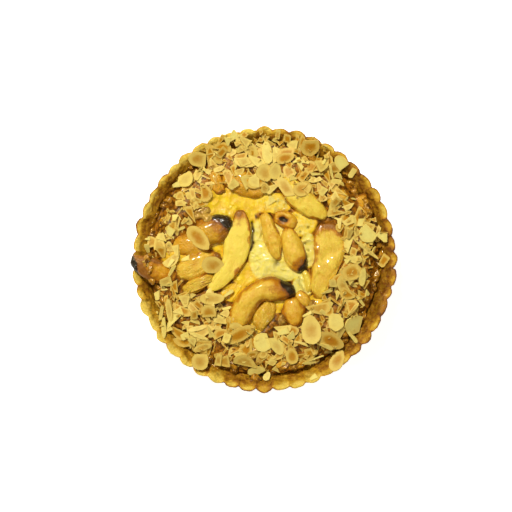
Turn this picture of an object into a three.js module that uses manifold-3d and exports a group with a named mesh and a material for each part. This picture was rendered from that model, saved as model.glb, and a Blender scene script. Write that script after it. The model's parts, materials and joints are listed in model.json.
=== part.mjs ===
// A round open apple tart in a fluted crust: set custard, baked apple pieces and flaked almonds.
// Millimetres, +Z up, with the origin at the centre of the underside.
import * as THREE from 'three';
import { mergeVertices } from 'three/addons/utils/BufferGeometryUtils.js';
import Module from 'manifold-3d';

const wasm = await Module();
wasm.setup();

// Driving dimensions.
const RIM_RADIUS = 100; // over the flute tips, at the rim
const FOOT_RADIUS = 93; // over the flute tips, where the wall meets the underside
const CRUST_HEIGHT = 28;
const RIM_THICKNESS = 6;
const FLOOR_THICKNESS = 4;
const FLOOR_RADIUS = 83; // inside the wall, at the floor
const SHOULDER_RADIUS = 87.5; // inside the wall, where the custard meets it
const SHOULDER_HEIGHT = 17;
const FLUTES = 48;
const FLUTE_DEPTH = 3.2;
const STEPS_PER_FLUTE = 4;
const CUSTARD_LEVEL = 23.5; // the middle of the tart
const PILE_HEIGHT = 2.2; // how much higher the ring under the almonds stands
const PILE_RADIUS = 70;
const EDGE_DROP = 5.5; // how far the filling has sunk away from a bare wall
const ALMOND_THICKNESS = 1.2;
const SCATTERED_ALMONDS = 36;
const SCATTER_INNER = 45;
const SCATTER_OUTER = 83;
const STEEPEST = 0.45; // rise over run of an almond that leans on the wall
const GAP = 0.3; // between pieces that touch
const LARGE_APPLE = 30; // apple pieces longer than this have more facets

// Baked apple pieces, the topmost first, each along a spine. Large ones list the spine's stations:
// x, y and how far the piece reaches to the left and to the right there. Small ones have the
// spine's middle, its direction in degrees, its length and the width. All have a height and the
// level of their middle; `pitch` climbs towards the far end (degrees), `flat` planes the top down
// and `square` makes the section boxier, the more the smaller it is.
const APPLES = {
  apple_burnt: {
    stations: [
      [-52, 14, 8, 9], [-45, 18, 12, 10.5], [-38, 22.5, 11.5, 11], [-31, 26.5, 10, 10],
      [-24, 29.5, 7.5, 8],
    ],
    height: 18, level: 23.5,
  },
  apple_crescent: {
    stations: [
      [-42.5, -22.5, 5, 5.5], [-35, -16.5, 6.5, 7.5], [-27, -6.5, 7.5, 8.5], [-22, 4, 9.5, 9.5],
      [-20, 15, 10.5, 10.5], [-17.5, 25.5, 9, 8], [-18, 37.5, 7.5, 7],
    ],
    height: 15, level: 23, flat: 0.7, square: 0.6,
  },
  apple_thin: {
    stations: [[11, -0.5, 5, 4.5], [8.5, 6.5, 6, 5], [7, 14, 7, 6.5], [3.5, 24, 6, 6], [-1, 35, 6.5, 6]],
    height: 13, level: 23,
  },
  apple_middle: {
    stations: [
      [15.5, 24, 6.5, 5.5], [19.5, 14, 8.5, 7.5], [22.5, 5, 8.5, 9], [26, -2, 7.5, 9],
      [30.5, -8.5, 6, 6.5],
    ],
    height: 15, level: 23,
  },
  apple_upper_right: {
    stations: [[13.5, 61, 8, 8], [20, 52.5, 9, 9], [27, 45.5, 9, 9], [36, 38.5, 9, 8.5], [47, 31.5, 7.5, 7]],
    height: 15, level: 23.5, flat: 0.4,
  },
  apple_hook: {
    stations: [
      [-21.5, -52, 9.5, 9], [-18, -42, 10.5, 10.5], [-13, -31.5, 9, 9.5], [-5.5, -24.5, 8, 8.5],
      [4, -22, 10, 10], [13, -23, 9.5, 9.5], [23, -23, 7.5, 7.5],
    ],
    height: 19, level: 23.5,
  },
  apple_right: {
    stations: [
      [47.5, 28, 13, 13], [48, 18, 13.5, 14], [49, 9, 13.5, 13], [47.5, -0.5, 12, 10.5],
      [44.5, -9.5, 10.5, 10], [41, -19, 9.5, 8.5], [39.5, -29.5, 7.5, 6.5],
    ],
    height: 17, level: 22.5, flat: 0.6, square: 0.7,
  },
  apple_left_upper: {
    stations: [[-70, 9, 9, 8], [-59, 10.5, 10, 9.5], [-50, 9.5, 10, 9.5], [-41, 8.5, 8, 7]],
    height: 12, level: 22.5,
  },
  apple_left_lower: {
    stations: [
      [-67, -10, 9, 7.5], [-57, -7.5, 11.5, 9.5], [-48, -3.5, 12, 10], [-40.5, 0, 9.5, 9.5],
      [-32.5, 3, 6, 6],
    ],
    height: 14, level: 22.5,
  },
  apple_far_left: {
    stations: [
      [-65, -13, 8, 7], [-73, -11, 8.5, 8], [-81, -8, 9, 8.5], [-89, -4.5, 8, 8],
      [-98.5, 0.5, 6.5, 6.5],
    ],
    height: 9, level: 28.2, pitch: 13,
  },
  apple_glossy: {
    stations: [[-4.5, -53, 7, 6.5], [-1.5, -45, 7.5, 7], [1.5, -38, 7.5, 7.5], [5, -30.5, 6.5, 7]],
    height: 12, level: 22.5,
  },
  apple_browned: {
    stations: [[19.5, -28.5, 10, 8], [21.5, -36, 11, 9.5], [22.5, -43, 8.5, 8], [24.5, -51.5, 6, 5.5]],
    height: 14, level: 22.5,
  },
  apple_small: { x: 29, y: -29, heading: -48, length: 13, width: 9, height: 9, level: 23 },
  apple_sliver: { x: 32, y: -16, heading: -78, length: 18, width: 6.5, height: 9, level: 22.5 },
  apple_upper_strip: { x: -15, y: 57, heading: -22, length: 34, width: 19, height: 12, level: 23 },
  apple_upper_left: { x: -36, y: 58, heading: -70, length: 19, width: 13, height: 10, level: 23 },
  apple_scorched: {
    stations: [[24, 25.5, 6, 6], [19, 28.5, 7, 6.5], [13.5, 31, 6.5, 6.5], [7.5, 32.5, 5.5, 5]],
    height: 12, level: 22.5,
  },
  apple_layered: { x: -49.5, y: -18.5, heading: 24, length: 25, width: 10.5, height: 10, level: 23 },
  apple_covered: { x: 55, y: 45.5, heading: 30, length: 17, width: 12, height: 9, level: 24 },
  apple_right_end: { x: 75, y: 39.5, heading: 108, length: 20, width: 12, height: 11, level: 22 },
  apple_bottom_end: { x: 19, y: -78.5, heading: 4, length: 24, width: 9, height: 9, level: 21.5 },
};

// The almond slices that stand out: place, length, width, direction in degrees, and how much of
// the slice is left (1 is whole).
const LARGE_ALMONDS = [
  [-49, 16, 21.5, 12, -45, 1], [-38.5, -4, 16, 12, 0, 1], [-50, 75, 17, 10.5, -8, 0.7],
  [34, 84, 16, 13, 75, 0.7], [49.5, -60.5, 21.5, 11, -24, 1], [34.5, -52, 21, 14, 96, 1],
  [-2, -62, 15, 13, 20, 0.7], [67, -49, 17, 13, 15, 0.7], [65, -9.5, 18, 11, 20, 0.8],
  [54.5, -75.5, 17, 10, 62, 1], [-6, -83.5, 13, 6.5, 12, 1], [-39, -29, 18, 8.5, 0, 1],
  [-41.5, -38.5, 13, 10, -90, 0.6], [-34.5, -75, 13, 11, -90, 0.7], [-48, -76, 14, 11, 80, 0.8],
  [-18, -55.5, 24, 9.5, 27, 1], [20.5, -72, 12, 9, 100, 1], [2, 80, 17, 7.5, 96, 1],
  [15.5, 76, 14, 7.5, 15, 1], [-32, 80, 11, 9, 40, 0.8], [-59, 60, 13, 12, 100, 0.8],
  [-50.5, 63.5, 10, 8, 60, 0.8], [-15, 88, 12, 8, -32, 0.7], [-15, 73, 11, 9, 20, 0.7],
  [0, 64.5, 13, 12, -60, 1], [44, 51, 11, 9, 75, 0.6], [28, 52.5, 13, 10.5, 10, 1],
  [53, 43, 9, 8, 40, 0.8], [57, 73, 17, 9, -52, 0.6], [77, 19, 14, 13, 60, 0.6],
  [-77, 16.5, 11, 8, 10, 0.6], [-77, 6, 11, 9, 100, 0.8], [-59.5, -31, 11, 10, 95, 0.8],
  [-52.5, -41, 11, 9, 100, 0.6], [-33, -45, 12, 9, -20, 0.8], [-64.5, -38.5, 10, 7, 10, 0.7],
  [-80, -27, 10, 8, 110, 0.6], [53, -46.5, 12, 11, 110, 1], [14, -54, 12, 7.5, 22, 0.7],
  [-22.5, 56, 10, 9, 60, 0.8], [63, 29, 10, 8, 20, 0.8],
];

// A repeatable draw between 0 and 1 for item number `index`.
function chance(index, kind) {
  const wave = Math.sin(index * 12.9898 + kind * 78.233) * 43758.5453;
  return wave - Math.floor(wave);
}

function smoothstep(low, high, value) {
  return THREE.MathUtils.smoothstep(value, low, high);
}

// Shared corners merged, triangles without area dropped: what a closed solid needs.
function closedGeometry(geometry) {
  const bare = geometry.clone();
  bare.deleteAttribute('normal');
  bare.deleteAttribute('uv');
  const merged = mergeVertices(bare, 1e-4);
  const index = merged.index.array;
  const kept = [];
  for (let i = 0; i < index.length; i += 3) {
    const [a, b, c] = [index[i], index[i + 1], index[i + 2]];
    if (a !== b && b !== c && c !== a) {
      kept.push(a, b, c);
    }
  }
  merged.setIndex(kept);
  return merged;
}

function toSolid(geometry) {
  const closed = closedGeometry(geometry);
  return new wasm.Manifold(new wasm.Mesh({
    numProp: 3,
    vertProperties: new Float32Array(closed.attributes.position.array),
    triVerts: new Uint32Array(closed.index.array),
  }));
}

// Only the largest body of a cut solid is kept, so no loose scrap is left.
function largestBody(solid) {
  const bodies = solid.decompose();
  bodies.sort((one, other) => other.volume() - one.volume());
  return bodies[0];
}

function toGeometry(solid) {
  const mesh = solid.getMesh();
  const geometry = new THREE.BufferGeometry();
  geometry.setAttribute('position', new THREE.BufferAttribute(mesh.vertProperties, 3));
  geometry.setIndex(new THREE.BufferAttribute(mesh.triVerts, 1));
  return geometry;
}

// How much almond fills the way up to the rim at this angle: 1 piled up, 0 a bare wall.
function pileShare(angle) {
  const piles = [[95, 42], [222, 40]];
  let share = 0;
  for (const [middle, halfWidth] of piles) {
    const turn = THREE.MathUtils.euclideanModulo(THREE.MathUtils.radToDeg(angle) - middle + 180, 360) - 180;
    share += 1 - smoothstep(0.5 * halfWidth, 1.2 * halfWidth, Math.abs(turn));
  }
  return share;
}

// The height of the filling's surface.
function custardHeight(x, y) {
  const radius = Math.hypot(x, y);
  const pile = PILE_HEIGHT * Math.exp(-(((radius - PILE_RADIUS) / 14) ** 2));
  const bare = 1 - 0.6 * pileShare(Math.atan2(y, x));
  const drop = EDGE_DROP * bare * smoothstep(77, 86, radius);
  const waves = 0.7 * Math.sin(x / 9 + 1.3) * Math.cos(y / 8) + 0.4 * Math.sin(x / 5 - y / 6.5);
  return CUSTARD_LEVEL + pile - drop + waves;
}

// Each flute stands out by its own amount; the four on the axes set the tart's full width.
function fluteDepth(flute) {
  const onAxis = flute % (FLUTES / 4) === 0;
  return onAxis ? FLUTE_DEPTH : FLUTE_DEPTH * (1 - 0.4 * chance(flute, 1));
}

// The crust's section from the middle of the underside, round the wall and back over the floor.
// `flute` is how strongly the flutes show at that point, `crest` how unevenly it rose.
function crustProfile(skin) {
  return [
    { r: 0, z: -skin, flute: 0, crest: 0 },
    { r: FOOT_RADIUS - 1.5 + skin, z: -skin, flute: 0.9, crest: 0 },
    { r: FOOT_RADIUS + skin, z: 1.5, flute: 1, crest: 0 },
    { r: RIM_RADIUS + skin, z: CRUST_HEIGHT - 1.4 + skin, flute: 1, crest: 0.6 },
    { r: RIM_RADIUS - 2.2, z: CRUST_HEIGHT + skin, flute: 0.8, crest: 1 },
    { r: RIM_RADIUS - RIM_THICKNESS - skin, z: CRUST_HEIGHT - 1.6 + skin, flute: 0.45, crest: 0.8 },
    { r: SHOULDER_RADIUS - skin, z: SHOULDER_HEIGHT, flute: 0.1, crest: 0 },
    { r: FLOOR_RADIUS - skin, z: FLOOR_THICKNESS + skin, flute: 0, crest: 0 },
    { r: 0, z: FLOOR_THICKNESS + skin, flute: 0, crest: 0 },
  ];
}

// The fluted crust, or the same grown by `skin` where others have to keep clear of it.
function crustGeometry(skin = 0) {
  const profile = crustProfile(skin);
  const points = profile.map(({ r, z }) => new THREE.Vector2(r, z));
  const geometry = new THREE.LatheGeometry(points, FLUTES * STEPS_PER_FLUTE);
  geometry.rotateX(Math.PI / 2);
  const position = geometry.attributes.position;
  for (let i = 0; i < position.count; i += 1) {
    const { r, z, flute, crest } = profile[i % profile.length];
    const angle = Math.atan2(position.getY(i), position.getX(i));
    const number = THREE.MathUtils.euclideanModulo(Math.round(angle * FLUTES / (2 * Math.PI)), FLUTES);
    const lobe = Math.abs(Math.cos(angle * FLUTES / 2));
    const radius = r - flute * (FLUTE_DEPTH - fluteDepth(number) * lobe);
    const rise = crest * lobe * (1.4 * chance(number, 2) - 1);
    if (r > 0) {
      position.setXYZ(i, radius * Math.cos(angle), radius * Math.sin(angle), z + rise);
    }
  }
  return geometry;
}

// The custard fills the crust up to its uneven surface, clear of the wall and the floor.
function custardGeometry(skin = 0) {
  const edge = SHOULDER_RADIUS - 1;
  const rings = [edge + 2 * skin, 82, 76, 68, 57, 44, 30, 15, 0];
  const points = [
    new THREE.Vector2(0, FLOOR_THICKNESS + GAP),
    new THREE.Vector2(FLOOR_RADIUS - GAP + skin, FLOOR_THICKNESS + GAP),
    ...rings.map((r) => new THREE.Vector2(r, SHOULDER_HEIGHT)),
  ];
  const geometry = new THREE.LatheGeometry(points, 60);
  geometry.rotateX(Math.PI / 2);
  const position = geometry.attributes.position;
  for (let i = 0; i < position.count; i += 1) {
    if (position.getZ(i) > FLOOR_THICKNESS + 2 * GAP) {
      const x = position.getX(i);
      const y = position.getY(i);
      position.setZ(i, custardHeight(x, y) + skin);
    }
  }
  return geometry;
}

// A sine or cosine that makes a round section squarer, the more the smaller the power.
function blunt(wave, power) {
  return Math.sign(wave) * Math.abs(wave) ** power;
}

// The stations of an apple piece; a small piece's follow from its length and width.
function appleStations({ stations, x, y, heading, length, width }) {
  if (stations) {
    return stations;
  }
  const turn = THREE.MathUtils.degToRad(heading);
  return [-0.5, 0, 0.5].map((step) => [
    x + step * length * Math.cos(turn), y + step * length * Math.sin(turn), width / 2, width / 2,
  ]);
}

// A rounded piece along its spine; `grow` widens it on every side.
function appleGeometry(piece, grow = 0) {
  const { height, level, pitch = 0, flat = 0, square = 0.85 } = piece;
  const stations = appleStations(piece);
  const places = stations.map(([x, y]) => new THREE.Vector3(x, y, 0));
  const reaches = stations.map(([, , left, right]) => new THREE.Vector3(left, right, 0));
  const spine = new THREE.CatmullRomCurve3(places, false, 'catmullrom');
  const sides = new THREE.CatmullRomCurve3(reaches, false, 'catmullrom');
  const length = spine.getLength();
  const isLarge = length > LARGE_APPLE;
  const geometry = new THREE.SphereGeometry(1, isLarge ? 10 : 8, isLarge ? 8 : 5);
  geometry.rotateZ(-Math.PI / 2);
  const position = geometry.attributes.position;
  const climb = Math.tan(THREE.MathUtils.degToRad(pitch)) * length / 2;
  for (let i = 0; i < position.count; i += 1) {
    const along = THREE.MathUtils.clamp(position.getX(i), -1, 1);
    const around = Math.atan2(position.getZ(i), position.getY(i));
    const spread = Math.sqrt(Math.hypot(position.getY(i), position.getZ(i)));
    const across = blunt(Math.cos(around), square) * spread;
    const lift = blunt(Math.sin(around), 0.85) * spread;
    const planed = lift - flat * Math.max(lift - 0.55, 0);
    const middle = spine.getPoint((along + 1) / 2);
    const ahead = spine.getTangent((along + 1) / 2);
    const { x: left, y: right } = sides.getPoint((along + 1) / 2);
    const side = across * ((across > 0 ? left : right) + grow);
    position.setXYZ(
      i,
      middle.x + ahead.x * along * grow - ahead.y * side,
      middle.y + ahead.y * along * grow + ahead.x * side,
      level + planed * (height / 2 + grow) + along * climb,
    );
  }
  return geometry;
}

// An almond slice's outline: a rounded, slightly pointed oval, of which `share` is left.
function almondOutline(length, width, share) {
  const corners = 7;
  const cut = (share - 0.5) * length;
  const points = [];
  for (let i = 0; i < corners; i += 1) {
    const turn = (i + 0.5) * 2 * Math.PI / corners;
    const along = Math.min(0.54 * length * Math.cos(turn), cut);
    points.push(new THREE.Vector2(along, 0.54 * width * Math.sin(turn) * (1 - 0.2 * Math.cos(turn))));
  }
  return points;
}

// A broken shard of a slice: six corners, each at its own distance.
function shardOutline(length, width, number) {
  const points = [];
  for (let i = 0; i < 5; i += 1) {
    const turn = (i + 0.7 * chance(number, 10 + i)) * 2 * Math.PI / 5;
    const reach = 0.42 + 0.2 * chance(number, 20 + i);
    points.push(new THREE.Vector2(reach * length * Math.cos(turn), reach * width * Math.sin(turn)));
  }
  return points;
}

// The scattered shards lie on a golden-angle spiral, so that they cover the ring evenly.
function scatteredAlmonds() {
  const almonds = [];
  const golden = 137.508;
  for (let i = 0; i < SCATTERED_ALMONDS; i += 1) {
    const share = (i + 0.5) / SCATTERED_ALMONDS;
    const radius = Math.sqrt(THREE.MathUtils.lerp(SCATTER_INNER ** 2, SCATTER_OUTER ** 2, share));
    const angle = THREE.MathUtils.degToRad(i * golden);
    const length = 8.5 + 5 * chance(i, 3);
    const width = length * (0.6 + 0.3 * chance(i, 4));
    const outline = shardOutline(length, width, i);
    almonds.push({
      x: radius * Math.cos(angle),
      y: radius * Math.sin(angle),
      heading: 360 * chance(i, 5),
      tilt: 24 * chance(i, 6) - 12,
      roll: 24 * chance(i, 7) - 12,
      length,
      width,
      outline,
      large: false,
    });
  }
  return almonds;
}

function largeAlmonds() {
  return LARGE_ALMONDS.map(([x, y, length, width, heading, share], i) => ({
    x,
    y,
    heading,
    tilt: 8 * chance(i, 8) - 4,
    roll: 8 * chance(i, 9) - 4,
    length,
    width,
    outline: almondOutline(length, width, share),
    large: true,
  }));
}

// An almond lies along the slope that it finds, tilted a little its own way.
function almondPlacement({ x, y, heading, tilt, roll, length, width }, meshes) {
  const turn = THREE.MathUtils.degToRad(heading);
  const heightAt = (along, across) => {
    const placeX = x + along * Math.cos(turn) - across * Math.sin(turn);
    const placeY = y + along * Math.sin(turn) + across * Math.cos(turn);
    return topAt(meshes, placeX, placeY)?.point.z ?? CUSTARD_LEVEL;
  };
  const [ahead, behind] = [heightAt(length / 3, 0), heightAt(-length / 3, 0)];
  const [left, right] = [heightAt(0, width / 3), heightAt(0, -width / 3)];
  const rise = THREE.MathUtils.clamp((ahead - behind) / (2 * length / 3), -STEEPEST, STEEPEST);
  const lean = THREE.MathUtils.clamp((left - right) / (2 * width / 3), -STEEPEST, STEEPEST);
  const rotation = new THREE.Euler(
    Math.atan(lean) + THREE.MathUtils.degToRad(roll),
    -Math.atan(rise) + THREE.MathUtils.degToRad(tilt),
    turn,
    'ZYX',
  );
  const level = Math.max(heightAt(0, 0), (ahead + behind + left + right) / 4);
  const z = level + 0.35 * ALMOND_THICKNESS;
  return new THREE.Matrix4().makeRotationFromEuler(rotation).setPosition(x, y, z);
}

function almondGeometry(almond, matrix) {
  const geometry = new THREE.ExtrudeGeometry(new THREE.Shape(almond.outline), {
    depth: ALMOND_THICKNESS,
    bevelEnabled: false,
  });
  geometry.translate(0, 0, -ALMOND_THICKNESS / 2);
  geometry.applyMatrix4(matrix);
  return geometry;
}

function meshFor(geometry, owner) {
  const mesh = new THREE.Mesh(geometry);
  mesh.userData.owner = owner;
  return mesh;
}

const raycaster = new THREE.Raycaster();
const DOWN = new THREE.Vector3(0, 0, -1);

// The topmost thing at this place, seen from above.
function topAt(meshes, x, y) {
  raycaster.set(new THREE.Vector3(x, y, 2 * CRUST_HEIGHT), DOWN);
  return raycaster.intersectObjects(meshes, false)[0];
}

// The owners met under an almond and just outside its outline, which tell whether it lies clear.
function ownersAround(almond, matrix, meshes) {
  const owners = new Set();
  const { outline } = almond;
  outline.forEach((corner, i) => {
    const next = outline[(i + 1) % outline.length];
    for (const spot of [corner.clone(), corner.clone().lerp(next, 0.5)]) {
      for (const reach of [1 + 2 * GAP / spot.length(), 0.5]) {
        const place = new THREE.Vector3(spot.x * reach, spot.y * reach, 0).applyMatrix4(matrix);
        const hit = topAt(meshes, place.x, place.y);
        owners.add(hit ? hit.object.userData.owner : 'none');
        if (hit && hit.object.userData.almond) {
          owners.add(`almond on ${hit.object.userData.owner}`);
        }
      }
    }
  });
  return owners;
}

// Lays the almonds on the bodies, each fused to what lies under its middle. A large one may reach
// over a neighbour and is trimmed clear of it; a shard that would is left out.
function layAlmonds(bodies, grown, almonds) {
  const meshes = Object.entries(bodies).map(([name, solid]) => meshFor(toGeometry(solid), name));
  for (const almond of almonds) {
    const under = topAt(meshes, almond.x, almond.y);
    if (under) {
      const owner = under.object.userData.owner;
      const matrix = almondPlacement(almond, meshes);
      const others = [...ownersAround(almond, matrix, meshes)];
      const neighbours = others.filter((name) => name !== owner && name !== `almond on ${owner}`);
      const blocked = neighbours.some((name) => name.startsWith('almond on') || name === 'none');
      if (!blocked && (almond.large || neighbours.length === 0)) {
        const geometry = almondGeometry(almond, matrix);
        const behind = owner === 'crust' ? 'custard' : 'crust';
        let solid = toSolid(geometry);
        for (const name of new Set([...neighbours, behind])) {
          solid = solid.subtract(grown[name]);
        }
        bodies[owner] = bodies[owner].add(solid);
        const mesh = meshFor(geometry, owner);
        mesh.userData.almond = true;
        meshes.push(mesh);
      }
    }
  }
}

// Every body of the tart before the almonds: the crust, the cut apple pieces, the cut custard.
function buildBodies() {
  const grown = { crust: toSolid(crustGeometry(GAP)) };
  const bodies = { crust: toSolid(crustGeometry()) };
  for (const [name, piece] of Object.entries(APPLES)) {
    let solid = toSolid(appleGeometry(piece));
    for (const above of Object.values(grown)) {
      solid = solid.subtract(above);
    }
    bodies[name] = largestBody(solid);
    grown[name] = toSolid(appleGeometry(piece, GAP));
  }
  let custard = toSolid(custardGeometry());
  for (const name of Object.keys(APPLES)) {
    custard = custard.subtract(grown[name]);
  }
  bodies.custard = largestBody(custard);
  grown.custard = toSolid(custardGeometry(GAP));
  return { bodies, grown };
}

const LOOKS = {
  crust: { color: 0xc98a3a, roughness: 0.75 },
  custard: { color: 0xe9c650, roughness: 0.4 },
  apple: { color: 0xdda63c, roughness: 0.35 },
};

function buildTart() {
  const { bodies, grown } = buildBodies();
  layAlmonds(bodies, grown, [...largeAlmonds(), ...scatteredAlmonds()]);
  const tart = new THREE.Group();
  for (const [name, solid] of Object.entries(bodies)) {
    const look = LOOKS[name] ?? LOOKS.apple;
    const material = new THREE.MeshStandardMaterial({ ...look, metalness: 0 });
    const mesh = new THREE.Mesh(toGeometry(largestBody(solid)), material);
    mesh.name = name;
    tart.add(mesh);
  }
  return tart;
}

const group = buildTart();
export default group;
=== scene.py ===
"""A round open apple tart: a fluted crust, set custard, baked apple pieces and flaked almonds.

Lengths are in millimetres while a piece is shaped. The last step of each piece brings its mesh to
metres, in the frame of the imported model.
"""
import itertools
import json
import math

import bmesh
import bpy
import numpy as np
from mathutils import Matrix, Vector
from mathutils.bvhtree import BVHTree

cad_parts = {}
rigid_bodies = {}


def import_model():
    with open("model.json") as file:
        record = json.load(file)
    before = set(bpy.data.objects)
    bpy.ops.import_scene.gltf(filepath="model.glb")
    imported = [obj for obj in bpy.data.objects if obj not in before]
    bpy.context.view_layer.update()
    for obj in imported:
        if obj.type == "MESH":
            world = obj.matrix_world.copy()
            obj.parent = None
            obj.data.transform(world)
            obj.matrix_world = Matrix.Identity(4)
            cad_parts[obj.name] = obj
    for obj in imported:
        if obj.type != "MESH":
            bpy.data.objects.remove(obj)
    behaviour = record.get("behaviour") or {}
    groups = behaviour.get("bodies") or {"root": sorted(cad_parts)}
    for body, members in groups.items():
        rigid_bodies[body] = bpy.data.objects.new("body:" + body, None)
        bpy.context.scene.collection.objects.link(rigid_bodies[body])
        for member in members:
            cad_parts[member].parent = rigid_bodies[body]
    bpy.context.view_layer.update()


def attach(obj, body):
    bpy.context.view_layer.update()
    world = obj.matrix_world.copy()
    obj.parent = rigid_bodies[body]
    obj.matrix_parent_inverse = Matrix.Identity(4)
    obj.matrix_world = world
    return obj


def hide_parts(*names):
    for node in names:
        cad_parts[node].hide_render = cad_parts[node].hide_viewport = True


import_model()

bl_info = {
    "name": "Apple tart",
    "version": (1, 0, 0),
    "blender": (4, 5, 0),
    "location": "View3D > Sidebar > Tart",
    "description": "Builds a round apple tart with custard and flaked almonds",
    "category": "Add Mesh",
}

MM = 0.001

# The crust's section and its flutes.
RIM_RADIUS = 100
FOOT_RADIUS = 93
CRUST_HEIGHT = 28
RIM_THICKNESS = 6
FLOOR_THICKNESS = 4
FLOOR_RADIUS = 83
SHOULDER_RADIUS = 87.5
SHOULDER_HEIGHT = 17
FLUTES = 48
FLUTE_DEPTH = 3.2

# The filling's surface.
CUSTARD_LEVEL = 23.5
PILE_HEIGHT = 2.2
PILE_RADIUS = 70
EDGE_DROP = 5.5
GAP = 0.3
# Where almonds are piled up to the rim: the middle of each pile and its half width, in degrees.
PILES = ((95, 42), (222, 40))

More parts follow.
